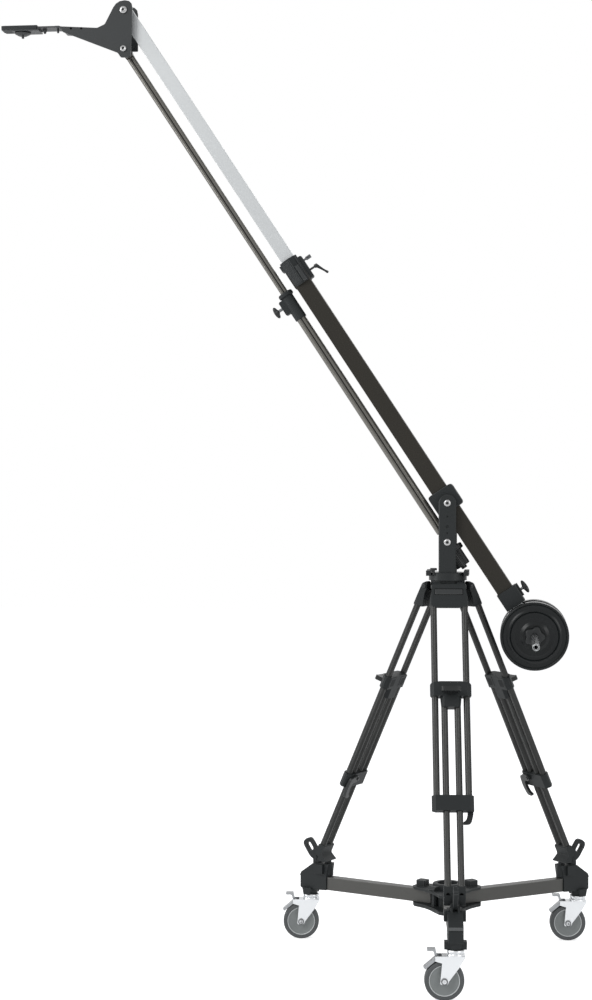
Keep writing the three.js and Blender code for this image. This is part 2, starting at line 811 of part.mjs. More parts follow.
function tubeHoles(spacing, start, end) {
  return [-1, 1].map((side) => hole(tubeRadius + slideGap, [-tubeInset, side * spacing / 2, -end - overrun],
    [-tubeInset, side * spacing / 2, -start + overrun]));
}

// A place on a face that lies a given way outward of the hinge line, at a height
function onLegFace(out, height, radius = 0) {
  const rise = height - hingeHeight - out * Math.sin(legAngle);
  return [out, rise / Math.cos(legAngle), radius];
}

function legOuter() {
  const half = shoulderWidth / 2;
  const topHalf = shoulderTopWidth / 2;
  const lip = shoulderLipWidth / 2;
  const outer = -tubeInset + tubeRadius + shoulderSkin;
  const lipDrop = shoulderFoot - shoulderLip;
  const innerEdge = hingeHeight - shoulderInnerDrop;
  const innerLedge = hingeHeight - pocketFloorDrop - shoulderSkin;
  const profile = sideSlab([intoLeg(shoulderInner, shoulderTop), intoLeg(shoulderCrest, shoulderTop),
    intoLeg(shoulderHip, shoulderTop - shoulderHipDrop, shoulderHipDrop / 2),
    [outer, -shoulderHipDrop, shoulderHipDrop], onLegFace(outer, shoulderFoot, shoulderTopDrop),
    onLegFace(outer - shoulderTopDrop, shoulderLip), intoLeg(shoulderInnerFoot, shoulderLip),
    intoLeg(shoulderInnerHip, innerLedge), intoLeg(shoulderInner, innerEdge)], -half, half);
  const [, top] = intoLeg(hingeReach, shoulderTop + overrun);
  const [, foot] = onLegFace(outer, shoulderFoot);
  const reach = shoulderHip;
  const front = frontSlab([[-topHalf, top, shoulderCorner], [topHalf, top, shoulderCorner],
    [topHalf, -shoulderFlareStart, shoulderCorner], [half, -shoulderFlareEnd, shoulderCorner],
    [half, foot, shoulderCorner], [lip, foot - lipDrop / 3, lipDrop], [lip / 2, foot - lipDrop, lipDrop],
    [-lip / 2, foot - lipDrop, lipDrop], [-lip, foot - lipDrop / 3, lipDrop], [-half, foot, shoulderCorner],
    [-half, -shoulderFlareEnd, shoulderCorner], [-topHalf, -shoulderFlareStart, shoulderCorner]],
  -reach, reach);
  const plan = flatSlab([[-reach, -half], [outer, -half, tubeRadius], [outer, half, tubeRadius],
    [-reach, half]],
    foot - lipDrop - overrun, top + overrun, 2);
  const shoulder = common(common(profile, front), plan);
  const lugHalf = hingeLugWidth / 2 + slideGap;
  const barrel = hingeBarrelRadius + slideGap;
  const [pocketInner, pocketFloor] = intoLeg(shoulderInner - overrun, hingeHeight - pocketFloorDrop);
  const pocket = sideSlab([[pocketInner - overrun, pocketFloor], [barrel, -pocketFloorDrop],
    [barrel, top + overrun],
    [pocketInner - overrun, top + overrun]], -lugHalf, lugHalf);
  const pinHole = hole(hingePinRadius + seat, [0, -half - overrun, 0], [0, half + overrun, 0], pinSides);
  const panelHalf = panelWidth / 2;
  const panel = box(outer - panelDepth, outer + overrun, -panelHalf, panelHalf, -panelTopDrop - panelHeight,
    -panelTopDrop);
  const bracketHalf = bracketWidth / 2;
  const corner = bracketHalfDepth - forkWall;
  const bracket = flatSlab([
    [-tubeInset - bracketHalfDepth, -bracketHalf, corner], [-tubeInset + bracketHalfDepth, -bracketHalf,
    corner],
    [-tubeInset + bracketHalfDepth, bracketHalf, corner], [-tubeInset - bracketHalfDepth, bracketHalf,
    corner]],
  -lowerBottom, -lowerTop);
  const tubes = legTubePair(outerSpacing, outerTubeStart, lowerBottom - bracketWall);
  const whole = join(cut(shoulder, pocket, pinHole, panel), ...tubes, bracket);
  return cut(whole, ...tubeHoles(innerSpacing, lowerTop, lowerBottom));
}

function legInner() {
  const half = bracketWidth / 2;
  const pocket = pocketWidth / 2;
  const corner = bracketHalfDepth - forkWall;
  const bracketReach = bracketHalfDepth + overrun;
  const bottom = sliderBottom + pocketHeight;
  const plan = (y) => [[-tubeInset - bracketHalfDepth, -y, corner],
    [-tubeInset + bracketHalfDepth, -y, corner],
    [-tubeInset + bracketHalfDepth, y, corner], [-tubeInset - bracketHalfDepth, y, corner]];
  const bridge = flatSlab(plan(half), -sliderBottom, -sliderTop);
  const pocketBody = flatSlab(plan(pocket), -bottom, -sliderBottom + overrun);
  const face = frontSlab([[-half, -sliderTop - sliderCrown, forkWall], [0, -sliderTop + sliderCrown, pocket],
    [half, -sliderTop - sliderCrown, forkWall], [half, -sliderBottom, forkWall],
    [pocket, -sliderBottom, forkWall], [pocket - forkWall, -bottom, forkWall],
    [-pocket + forkWall, -bottom, forkWall], [-pocket, -sliderBottom, forkWall],
    [-half, -sliderBottom, forkWall]], -tubeInset - bracketReach, -tubeInset + bracketReach);
  const slider = cut(common(join(bridge, pocketBody), face), ...tubeHoles(outerSpacing, sliderTop, bottom));
  const tubes = legTubePair(innerSpacing, sliderTop + bracketWall * 2, footCastingTop + innerTubeSink);
  const rest = housingTop - cupDepth + footTipGap;
  const neckTop = housingTop + footCastingBase;
  const inner = -tubeInset - bracketHalfDepth;
  const castTop = -footCastingTop;
  const outer = -tubeInset + bracketHalfDepth - bracketWall;
  const shelf = sideSlab([[inner - footCastingInner, castTop, forkWall], [outer, castTop, forkWall],
    [outer, castTop - innerTubeSink, forkWall * 2],
    intoLeg(footReach + footCastingOuter, housingTop + footNeckHeight, forkWall),
    intoLeg(footReach - footCastingBase, housingTop + footNeckHeight, forkWall),
    [inner - footCastingInner, castTop - footCastingShelf, forkWall]],
  -footCastingWidth / 2, footCastingWidth / 2);
  const foot = turned([[0, rest], [footRadius / 2, rest], [footRadius, rest + footRadius / 2],
    [footRadius, neckTop], [0, neckTop]], [0, 0, 0], [0, 0, 1], pinSides);
  foot.translate(footReach - hingeReach, 0, -hingeHeight).rotateY(legAngle);
  return join(slider, ...tubes, shelf, foot);
}

// Wing knob pointing along +z, on a stem from z = 0
function wingKnob(stemRadius, stemLength, hubRadius, span, blade, height) {
  const top = stemLength + height;
  const stem = bar(stemRadius, [0, 0, 0], [0, 0, stemLength + seat], pinSides);
  const crest = hubRadius * knobCrestShare;
  const hub = bar(hubRadius, [0, 0, stemLength], [0, 0, top - height / 3], pinSides, crest);
  const half = span / 2;
  const root = half * wingRootShare;
  const wings = sideSlab([[-half, top, blade / 2], [-root, stemLength, blade / 3], [0, stemLength],
    [root, stemLength, blade / 3], [half, top, blade / 2], [0, top - height / 4, half / 2]],
  -blade / 2, blade / 2);
  return join(stem, hub, wings);
}

function legKnob() {
  const knob = wingKnob(leverScrewRadius, legKnobHub / 2, legKnobHubRadius, legKnobSpan, legKnobBlade,
    legKnobDepth);
  const face = -tubeInset + bracketHalfDepth + seat;
  return knob.rotateZ(Math.PI / 2).rotateY(Math.PI / 2).translate(face, 0, -sliderTop - legKnobDrop);
}

function legLever() {
  const hubY = legLeverSide;
  const hubZ = -lowerTop - legLeverDrop;
  const face = -tubeInset - bracketHalfDepth - seat;
  const bend = hubY + legLeverReach;
  const waist = bend - legLeverWidth;
  const tipY = hubY + legLeverHook;
  const tipZ = hubZ - legLeverFall;
  const round = legLeverHub / 2;
  const handle = frontSlab([[hubY - legLeverHub, hubZ, round], [hubY, hubZ + legLeverHub, round],
    [bend, hubZ + round, legLeverHub], [bend + legLeverWidth / 3, hubZ - legLeverFall / 2, legLeverHub],
    [bend - legLeverWidth / 3, tipZ, legLeverHub], [tipY, tipZ, legLeverWidth / 4],
    [tipY, tipZ + legLeverWidth / 2, legLeverWidth / 5], [waist - round, tipZ + legLeverWidth, round],
    [waist, hubZ - legLeverFall / 2, legLeverHub], [waist - round, hubZ - legLeverHub, round],
    [hubY, hubZ - legLeverHub, round]], face - legLeverThickness, face, 3);
  const screwTop = face - legLeverThickness - leverScrewHeight;
  const screw = bar(leverScrewRadius, [screwTop, hubY, hubZ], [face, hubY, hubZ], nutSides);
  return join(handle, screw);
}

// Crown with its three hinge lugs and pins
function crown() {
  const topBase = crownTop - crownTopHeight;
  const core = turned([[0, crownDomeBottom], [crownDomeRadius, crownDomeBottom],
    [crownCoreRadius, crownDomeBottom + crownDomeHeight], [crownCoreRadius, topBase - seat],
    [crownTopRadius, topBase], [crownTopRadius, crownTop], [0, crownTop]], [0, 0, 0], [0, 0, 1], coreSides);
  const parts = Object.values(legTurns).flatMap((angle) => {
    const half = hingeLugWidth / 2;
    const lug = box(crownCoreRadius / 2, hingeReach, -half, half, hingeHeight - lugHeight / 2,
      hingeHeight + lugHeight / 2);
    const barrel = bar(hingeBarrelRadius, [hingeReach, -half, hingeHeight], [hingeReach, half, hingeHeight]);
    const reach = hingePinLength / 2;
    const pin = bar(hingePinRadius, [hingeReach, -reach, hingeHeight], [hingeReach, reach, hingeHeight],
      pinSides);
    return [lug, barrel, pin].map((piece) => piece.rotateZ(angle * degree));
  });
  return join(core, ...parts);
}

function panBase() {
  const base = crownTop + seat;
  const top = base + panBaseHeight;
  return turned([[0, base], [panBaseRadius, base], [panBaseRadius, top], [panSpindleRadius, top],
    [panSpindleRadius, top + panSpindleHeight], [0, top + panSpindleHeight]], [0, 0, 0], [0, 0, 1],
    coreSides);
}

function pedestal() {
  const base = crownTop + panBaseHeight + seat * 2;
  const disc = turned([[0, base], [panDiscRadius, base], [panDiscRadius, panDiscTop - panBevel],
    [panDiscRadius - panBevel, panDiscTop], [0, panDiscTop]], [0, 0, 0], [0, 0, 1], fineSides);
  const uprights = [-1, 1].map((side) => {
    const shape = new THREE.Shape();
    const half = uprightHalfWidth - uprightBevel;
    shape.moveTo(-half, base + uprightBevel);
    shape.lineTo(half, base + uprightBevel);
    shape.lineTo(half, pivotHeight);
    shape.absarc(0, pivotHeight, half, 0, Math.PI, false);
    shape.closePath();
    const plate = new THREE.ExtrudeGeometry(shape, { depth: uprightThickness - uprightBevel * 2,
      bevelThickness: uprightBevel, bevelSize: uprightBevel, bevelSegments: 1, curveSegments: 8 });
    plate.rotateX(Math.PI / 2);
    const inner = uprightInner + uprightBevel;
    return plate.translate(0, side > 0 ? inner + uprightThickness - uprightBevel * 2 : -inner, 0);
  });
  const lugs = [-1, 1].flatMap((x) => [-1, 1].map((y) => {
    const outer = y * (uprightInner + uprightThickness);
    const inner = y * (uprightInner + uprightThickness - deckLugWidth);
    const [y0, y1] = [Math.min(outer, inner), Math.max(outer, inner)];
    const [x0, x1] = [Math.min(x * deckLugRoot, x * deckLugReach),
      Math.max(x * deckLugRoot, x * deckLugReach)];
    return box(x0, x1, y0, y1, deckLugBottom, deckLugBottom + deckLugHeight);
  }));
  const reach = uprightInner + uprightThickness + overrun;
  const across = (radius, height) => hole(radius, [0, -reach, height], [0, reach, height]);
  const gauge = (radius, height) => bar(radius, [0, -reach, height],
    [0, -uprightInner - uprightThickness + gaugeHoleDepth, height], pinSides);
  const spindle = hole(panSpindleRadius + slideGap, [0, 0, base - overrun],
    [0, 0, crownTop + seat + panBaseHeight + panSpindleHeight + slideGap], pinSides);
  const lockX = -panLockReach;
  const lockY = -(uprightInner + uprightThickness / 2);
  const lockHole = hole(panLockStemRadius + slideGap, [lockX, lockY, panDiscTop - panLockStem - slideGap],
    [lockX, lockY, deckLugBottom + deckLugHeight + overrun], pinSides);
  return cut(join(disc, ...uprights, ...lugs), across(tiltAxleRadius + seat, pivotHeight),
    across(rodAxleRadius + seat, rodPivotHeight), gauge(gaugeHoleRadius, gaugeHoleHeight),
    gauge(smallHoleRadius, pivotHeight - smallHoleDrops.lower),
    gauge(smallHoleRadius, pivotHeight - smallHoleDrops.upper), spindle,
    lockHole);
}

function panLock() {
  const x = -panLockReach;
  const y = -(uprightInner + uprightThickness / 2);
  const base = deckLugBottom + deckLugHeight + seat;
  const stem = bar(panLockStemRadius, [x, y, panDiscTop - panLockStem], [x, y, base + seat], pinSides);
  const [halfX, halfY] = [panLockLength / 2, panLockWidth / 2];
  const grip = flatSlab([[x - halfX, y - halfY, forkWall], [x + halfX, y - halfY, forkWall],
    [x + halfX, y + halfY, forkWall], [x - halfX, y + halfY, forkWall]], base, base + panLockHeight / 2);
  return join(stem, grip);
}

// A cross axle with a socket-headed bolt at each end, along y at a height
function axle(radius, height, reach, headRadius, headHeight, collars = []) {
  const end = reach + seat + headHeight;
  const shaft = bar(radius, [0, -end + headHeight / 2, height], [0, end - headHeight / 2, height], pinSides);
  const heads = [-1, 1].map((side) => bar(headRadius, [0, side * (reach + seat), height],
    [0, side * end, height]));
  const sockets = [-1, 1].map((side) => bar(boltSocketRadius, [0, side * (end - boltSocketDepth), height],
    [0, side * (end + overrun), height], nutSides));
  return cut(join(shaft, ...heads, ...collars), ...sockets);
}

// The front rod axle hangs from the near plate alone, with a collar past the eye of the rod
function rodFrontAxle() {
  const face = plateHalfGap + plateThickness + seat;
  const end = face + headCapHeight;
  const eye = frontEyeHalfWidth + slideGap;
  const at = (y) => [0, y, -boltSpacing];
  const socket = bar(boltSocketRadius, at(-end - overrun), at(-end + boltSocketDepth), nutSides);
  return cut(join(bar(rodAxleRadius, at(-face - seat), at(eye + seat), pinSides),
    bar(rodCapRadius, at(-end), at(-face)),
    bar(headSpacerRadius, at(-plateHalfGap + seat), at(-eye)),
    bar(headSpacerRadius, at(eye), at(eye + rodCollarWidth))),
  socket);
}

// Arm frame: x towards the head, z up and away from the rod
function saddle() {
  const half = saddleHalfWidth;
  const bore = armTubeSize / 2 + seat;
  const body = sideSlab([[-saddleRear, -saddleBottom, saddleCorner],
    [saddleFront, -saddleBottom, saddleCorner],
    [saddleFront, saddleTop, saddleCorner], [-saddleRear, saddleTop, saddleCorner]], -half, half, 3);
  return cut(body, box(-saddleRear - overrun, saddleFront + overrun, -bore, bore, -bore, bore),
    hole(tiltAxleRadius + seat, [0, -half - overrun, 0], [0, half + overrun, 0]));
}

function outerTube() {
  const tube = squareTube(armTubeSize, armTubeWall, -armTubeRear, armTubeFront);
  return cut(tube, hole(tiltAxleRadius + seat, [0, -armTubeSize, 0], [0, armTubeSize, 0]));
}

function innerTube() {
  const half = innerTubeSize / 2;
  const eyeStart = headReach - armEyeLength;
  const tube = squareTube(innerTubeSize, innerTubeWall, innerTubeRear, eyeStart);
  const plug = half - innerTubeWall / 2;
  const eye = sideSlab([[eyeStart - seat, -half], [headReach + half, -half, half],
    [headReach + half, half, half],
    [eyeStart - seat, half]], -half, half, 4);
  const spigot = box(eyeStart - armEyeSpigot, eyeStart, -plug, plug, -plug, plug);
  return cut(join(tube, spigot, eye),
    hole(headAxleRadius + slideGap, [headReach, -half - overrun, 0], [headReach, half + overrun, 0]));
}

function frontCollar() {
  const bore = armTubeSize / 2 + seat;
  const guide = innerTubeSize / 2 + slideGap;
  const step = armTubeFront + seat;
  const flank = collarHalfWidth - (collarHalfWidth - collarFlat) / 3;
  const round = collarTop / 5;
  const body = frontSlab([[-collarFlat, -collarBottom], [collarFlat, -collarBottom],
    [flank, -collarBottom / 2, round], [collarHalfWidth, 0, round], [flank, collarTop / 2, round],
    [collarFlat, collarTop], [-collarFlat, collarTop], [-flank, collarTop / 2, round],
    [-collarHalfWidth, 0, round], [-flank, -collarBottom / 2, round]], collarRear, collarFront, 3);
  const lip = sideSlab([[collarLipRear, collarTop - overrun], [collarLipRear, collarLipTop, forkWall],
    [collarLipFront, collarLipTop, forkWall], [collarLipFront, collarTop - overrun]],
  -collarLipHalfWidth, collarLipHalfWidth);
  const lug = box(collarLugStart, collarLugStart + collarLugLength, -collarFlat, collarFlat,
    -collarBottom - collarLugDrop, -collarBottom + seat);
  const ribs = [-1, 1].map((side) => {
    const face = side * (collarHalfWidth + collarRibHeight);
    const root = side * (flank - forkWall);
    return box(collarRear + collarRibHeight, collarRear + collarRibLength, Math.min(face, root),
      Math.max(face, root),
      collarRibOffset - collarRibWidth / 2, collarRibOffset + collarRibWidth / 2);
  });
  const slit = box(collarRear - overrun, collarFront + overrun, -collarSlit / 2, collarSlit / 2, 0,
    collarLipTop + overrun);
  const thumbHole = hole(thumbStemRadius + seat, [thumbReach, 0, collarTop - overrun],
    [thumbReach, 0, collarLipTop + overrun], pinSides);
  return cut(join(body, lip, lug, ...ribs), box(collarRear - overrun, step, -bore, bore, -bore, bore),
    box(step - overrun, collarFront + overrun, -guide, guide, -guide, guide), slit, thumbHole);
}

function ratchetLever() {
  const base = collarLipTop + seat;
  const top = base + ratchetPostHeight;
  const post = bar(ratchetPostRadius, [ratchetReach, 0, base], [ratchetReach, 0, top], pinSides);
  const hub = bar(ratchetHubRadius, [ratchetReach, 0, top - ratchetHubHeight], [ratchetReach, 0, top],
    pinSides);
  const tip = [ratchetReach - ratchetHandleLength, 0, top + ratchetHandleRise];
  const handle = bar(ratchetHandleRadius, [ratchetReach, 0, top - ratchetHubHeight / 2], tip, pinSides);
  const knob = new THREE.SphereGeometry(ratchetKnobRadius, pinSides, pinSides / 2).translate(...tip);
  return join(post, hub, handle, knob);
}

function thumbScrew() {
  const base = collarTop + seat;
  const neck = collarLipTop + thumbStemHeight;
  const top = neck + thumbHeadHeight;
  return turned([[0, base], [thumbStemRadius, base], [thumbStemRadius, neck], [thumbHeadRadius, neck],
    [thumbHeadRadius, top - thumbCapHeight], [thumbCapRadius, top - thumbCapHeight], [thumbCapRadius, top],
    [0, top]],
  [thumbReach, 0, 0], [0, 0, 1], pinSides);
}

function rearBlock() {
  const half = rearBlockHalfWidth;
  const bore = armTubeSize / 2 + seat;
  const guide = innerTubeSize / 2 + slideGap;
  const step = -armTubeRear - seat;
  const body = frontSlab([[-half, -rearBlockBottom, rearBlockCorner],
    [half, -rearBlockBottom, rearBlockCorner],
    [half, rearBlockTop, rearBlockCorner], [-half, rearBlockTop, rearBlockCorner]], -rearBlockRear,
    -rearBlockFront, 2);
  const boss = box(-rearBlockFront - rearBossLength, -rearBlockFront - seat, -rearBossHalfWidth,
    rearBossHalfWidth,
    rearBlockTop - overrun, rearBossTop);
  const screwHole = hole(rearKnobStemRadius + seat, [-rearKnobReach, 0, armTubeSize / 2],
    [-rearKnobReach, 0, rearBossTop + overrun], pinSides);
  return cut(join(body, boss), box(step, -rearBlockFront + overrun, -bore, bore, -bore, bore),
    box(-rearBlockRear - overrun, step + overrun, -guide, guide, -guide, guide), screwHole);
}

function rearWingKnob() {
  const sunk = rearBossTop - armTubeSize / 2 - slideGap * 2;
  const knob = wingKnob(rearKnobStemRadius, sunk + rearKnobStem, rearKnobHubRadius, rearKnobSpan,
    rearKnobBlade,
    rearKnobHeight);
  return knob.translate(-rearKnobReach, 0, rearBossTop - sunk);
}

function weightCarrier() {
  const tube = squareTube(innerTubeSize, innerTubeWall, -tailRear, -tailFront);
  const shaft = bar(shaftRadius, [-shaftReach, -shaftHalfLength, 0], [-shaftReach, shaftHalfLength, 0]);
  const bore = bar(shaftBoreRadius, [-shaftReach, -shaftHalfLength - overrun, 0],
    [-shaftReach, shaftHalfLength + overrun, 0], pinSides);
  return cut(join(tube, shaft), bore);
}

function weightDisc(side) {
  const bore = shaftRadius + slideGap;
  const outer = discInner + discWidth;
  const profile = [[bore, discInner], [discRadius - discEdge, discInner], [discRadius, discInner + discEdge],
    [discRadius, outer - discEdge], [discRadius - discEdge, outer], [discRingRadius, outer],
    [discRingRadius - discDish, outer - discDish], [discHubRadius, outer - discDish], [discHubRadius, outer],
    [bore, outer], [bore, discInner]];
  return turned(profile, [-shaftReach, 0, 0], [0, side, 0], fineSides);
}

function starCollar(side) {
  const base = discInner + discWidth + seat;
  const hubTop = base + starHubWidth;
  const shape = new THREE.Shape();
  const steps = starLobes * starLobeSteps;
  for (let i = 0; i < steps; i += 1) {
    const angle = 2 * Math.PI * i / steps;
    const radius = starRadius + starLobe * Math.cos(starLobes * angle);
    const point = [radius * Math.cos(angle), radius * Math.sin(angle)];
    if (i === 0) shape.moveTo(...point);
    else shape.lineTo(...point);
  }
  shape.closePath();
  const star = slab(shape, starWidth - starHubWidth, 1).rotateX(Math.PI / 2);
  star.translate(-shaftReach, side > 0 ? hubTop + starWidth - starHubWidth : -hubTop, 0);
  const hub = bar(starHubRadius, [-shaftReach, side * base, 0], [-shaftReach, side * (hubTop + seat), 0]);
  const bore = hole(shaftRadius + slideGap, [-shaftReach, side * (base - overrun), 0],
    [-shaftReach, side * (base + starWidth + overrun), 0]);
  return cut(join(star, hub), bore);
}

// Rod frame: x towards the front axle, z as in the arm frame
function rodOuter() {
  const root = rodEyeRadius * eyeRootShare;
  const eye = sideSlab([[rodEyeNeck, -root], [0, -rodEyeRadius, rodEyeRadius / 2],
    [-rodEyeRadius, -rodEyeRadius / 2, rodEyeRadius / 2], [-rodEyeRadius, rodEyeRadius / 2, rodEyeRadius / 2],
    [0, rodEyeRadius, rodEyeRadius / 2], [rodEyeNeck, root]], -rodEyeHalfWidth, rodEyeHalfWidth);
  const tube = bar(rodOuterRadius, [rodEyeNeck - overrun, 0, 0], [rodOuterEnd, 0, 0]);
  const bore = hole(rodInnerRadius + slideGap, [rodBoreStart, 0, 0], [rodOuterEnd + overrun, 0, 0]);
  const pivot = hole(rodAxleRadius + slideGap, [0, -rodEyeHalfWidth - overrun, 0],
    [0, rodEyeHalfWidth + overrun, 0]);
  const spindle = bar(levelSpindleRadius, [-rodEyeRadius + overrun, 0, 0], [-levelSpindleEnd, 0, 0],
    pinSides);
  return cut(join(eye, tube, spindle), bore, pivot);
}

function levelAdjuster() {
  const profile = [[levelSpindleRadius + slideGap, levelFlangeStart], [levelSleeveRadius, levelFlangeStart],
    [levelFlangeRadius, levelFlangeStart + forkWall], [levelFlangeRadius, levelFlangeEnd - forkWall],
    [levelSleeveRadius, levelFlangeEnd], [levelSleeveRadius, levelSleeveEnd - forkWall],
    [levelSleeveRadius - forkWall, levelSleeveEnd], [levelStudRadius, levelSleeveEnd],
    [levelStudRadius, levelStudEnd],
    [0, levelStudEnd], [0, levelSpindleEnd + slideGap], [levelSpindleRadius + slideGap,
    levelSpindleEnd + slideGap],
    [levelSpindleRadius + slideGap, levelFlangeStart]];
  return turned(profile, [0, 0, 0], [-1, 0, 0], roundSides);
}

function rodInner() {
  const neck = headReach - frontEyeNeck;
  const tube = bar(rodInnerRadius, [rodInnerRear, 0, 0], [neck + overrun, 0, 0]);
  const eye = sideSlab([[neck, -rodInnerRadius], [headReach, -frontEyeRadius, frontEyeRadius / 2],
    [headReach + frontEyeRadius, -frontEyeRadius / 2, frontEyeRadius / 2],
    [headReach + frontEyeRadius, frontEyeRadius / 2, frontEyeRadius / 2],
    [headReach, frontEyeRadius, frontEyeRadius / 2], [neck, rodInnerRadius]], -frontEyeHalfWidth,
    frontEyeHalfWidth);
  const pivot = hole(rodAxleRadius + openPivotGap, [headReach, -frontEyeHalfWidth - overrun, 0],
    [headReach, frontEyeHalfWidth + overrun, 0]);
  return cut(join(tube, eye), pivot);
}

function rodClamp() {
  const sleeve = bar(clampSleeveRadius, [clampSleeveStart, 0, 0], [clampRingStart + seat, 0, 0]);
  const ring = turned([[0, clampRingStart], [clampRingRadius - forkWall, clampRingStart],
    [clampRingRadius, clampRingStart + forkWall], [clampRingRadius, clampRingEnd - forkWall],
    [clampRingRadius - forkWall, clampRingEnd], [0, clampRingEnd]], [0, 0, 0], [1, 0, 0]);
  const block = sideSlab([[clampBlockStart, 0], [clampBlockStart, -clampBlockDrop, forkWall],
    [clampBlockEnd, -clampBlockDrop, forkWall], [clampBlockEnd, 0]], -clampBlockHalfWidth,
    clampBlockHalfWidth);
  const bore = hole(rodOuterRadius + seat, [clampSleeveStart - overrun, 0, 0], [rodOuterEnd + seat, 0, 0]);
  const guide = hole(rodInnerRadius + slideGap, [rodOuterEnd, 0, 0], [clampRingEnd + overrun, 0, 0]);
  const screwHole = hole(rodKnobStemRadius + seat, [rodKnobReach, 0, 0],
    [rodKnobReach, 0, -clampBlockDrop - overrun],
    pinSides);
  return cut(join(sleeve, ring, block), bore, guide, screwHole);
}

function rodWingKnob() {
  const sunk = clampBlockDrop - rodOuterRadius - slideGap * 2;
  const knob = wingKnob(rodKnobStemRadius, sunk + rodKnobStem, rodKnobHubRadius, rodKnobSpan, rodKnobBlade,
    rodKnobHeight);
  return knob.rotateX(Math.PI).translate(rodKnobReach, 0, -clampBlockDrop + sunk);
}

// Head frame: x away from the camera, z up, about the upper axle
function headBracket() {
  const crest = [[-headShelfReach, -headShelfDrop, forkWall], [-headNotchReach, -headNotchDrop, forkWall],
    [-headCrestFront, headCrestRise, headCrestRound], [headCrestReach, headCrestRise, headCrestRound]];
  const near = [[-headTipReach, -headTipTop], ...crest, [headFootFront, -headFootDrop, headFootFront / 2],
    [-headHeelReach / 2, -headFootDrop, headHeelReach / 4], [-headHeelReach, -headHeelDrop, forkWall],
    [-headTipReach + forkWall, -headTipBottom, forkWall]];
  const far = [[-farPlateReach, -farPlateTop], ...crest, [headCrestReach, -farPlateFoot, forkWall],
    [-headHeelReach, -farPlateFoot, forkWall], [-farPlateReach, -farPlateBottom, forkWall]];
  const outer = plateHalfGap + plateThickness;
  const plates = [sideSlab(near, -outer, -plateHalfGap, 3), sideSlab(far, plateHalfGap, outer, 3)];
  const deckBottom = deckTop + deckThickness;
  const slope = headShelfDrop - headTipTop;
  const deck = sideSlab([[-headTipReach, -deckTop], [-deckRear, -deckTop - slope],
    [-deckRear, -deckBottom - slope],
    [-headTipReach, -deckBottom]], -deckHalfWidth, deckHalfWidth);
  const shoeTop = cameraPlateBottom + seat;
  const shoeBottom = shoeTop + shoePlate;
  const riser = tongueStep - shoeWall;
  const tongueBottom = tongueTop + tongueThickness;
  const tongue = sideSlab([[-deckShoulder, -deckTop - tongueThickness], [-tongueRoot, -deckTop + seat],
    [-tongueRise, -tongueTop], [-tongueStep, -tongueTop], [-tongueStep, -shoeTop], [-tongueEnd, -shoeTop],
    [-tongueEnd, -shoeBottom], [-riser, -shoeBottom], [-riser, -tongueBottom], [-tongueRise, -tongueBottom],
    [-headTipReach + overrun, -deckBottom]], -tongueHalfWidth, tongueHalfWidth);
  const cone = bar(conePegTip, [-conePegReach, 0, -conePegDrop], [-conePegReach, 0, -tongueBottom + seat],
    pinSides, conePegRadius);
  const peg = bar(smallPegRadius, [-smallPegReach, 0, -smallPegDrop],
    [-smallPegReach, 0, -tongueBottom + seat],
    pinSides);
  const stopHalf = stopWidth / 2;
  const stop = box(-smallPegReach - stopLength / 2, -smallPegReach + stopLength / 2, -stopHalf, stopHalf,
    -tongueTop - seat, -tongueTop + stopHeight);
  const padTop = -tongueTop + stopHeight / 2;
  const pad = box(-tongueStep, -smallPegReach, -stopHalf, stopHalf, -tongueTop - seat, padTop);
  const across = (radius, height) => hole(radius, [0, -outer - overrun, height],
    [0, outer + overrun, height]);
  const screwHole = hole(cameraScrewRadius + slideGap, [-cameraScrewReach, 0, -shoeBottom - overrun],
    [-cameraScrewReach, 0, -shoeTop + overrun], pinSides);
  return cut(join(...plates, deck, tongue, cone, peg, stop, pad), across(headAxleRadius + seat, 0),
    across(rodAxleRadius + seat, -boltSpacing), screwHole);
}

function cameraPlate() {
  const half = cameraPlateHalfWidth;
  const plate = flatSlab([[-cameraPlateFront, -half, cameraPlateCorner], [-cameraPlateRear, -half, forkWall],
    [-cameraPlateRear, half, forkWall], [-cameraPlateFront, half, cameraPlateCorner]],
  -cameraPlateBottom, -cameraPlateTop, 3);
  const rails = [-1, 1].map((side) => {
    const edge = side * (half - cameraRailInset);
    const [y0, y1] = [edge - cameraRailWidth / 2, edge + cameraRailWidth / 2];
    return box(-cameraPlateFront - overrun, -cameraPlateRear + overrun, y0, y1,
      -cameraPlateBottom - overrun, -cameraPlateBottom + cameraRailDepth);
  });
  const screwHole = hole(cameraScrewRadius + slideGap, [-cameraScrewReach, 0, -cameraPlateBottom - overrun],
    [-cameraScrewReach, 0, -cameraPlateTop + overrun], pinSides);
  return cut(plate, ...rails, screwHole);
}

function cameraScrew() {
  const knobTop = cameraPlateBottom + shoePlate + seat * 2;
  const knobBottom = knobTop + cameraKnobHeight;
  return turned([[0, -cameraPegDrop], [cameraPegRadius, -cameraPegDrop], [cameraPegRadius, -knobBottom],
    [cameraKnobRadius / 2, -knobBottom], [cameraKnobRadius, -knobTop - forkWall],
    [cameraKnobRadius - forkWall / 2, -knobTop], [cameraScrewRadius, -knobTop],
    [cameraScrewRadius, -cameraPlateTop - forkWall], [0, -cameraPlateTop - forkWall]],
  [-cameraScrewReach, 0, 0], [0, 0, 1], coreSides);
}

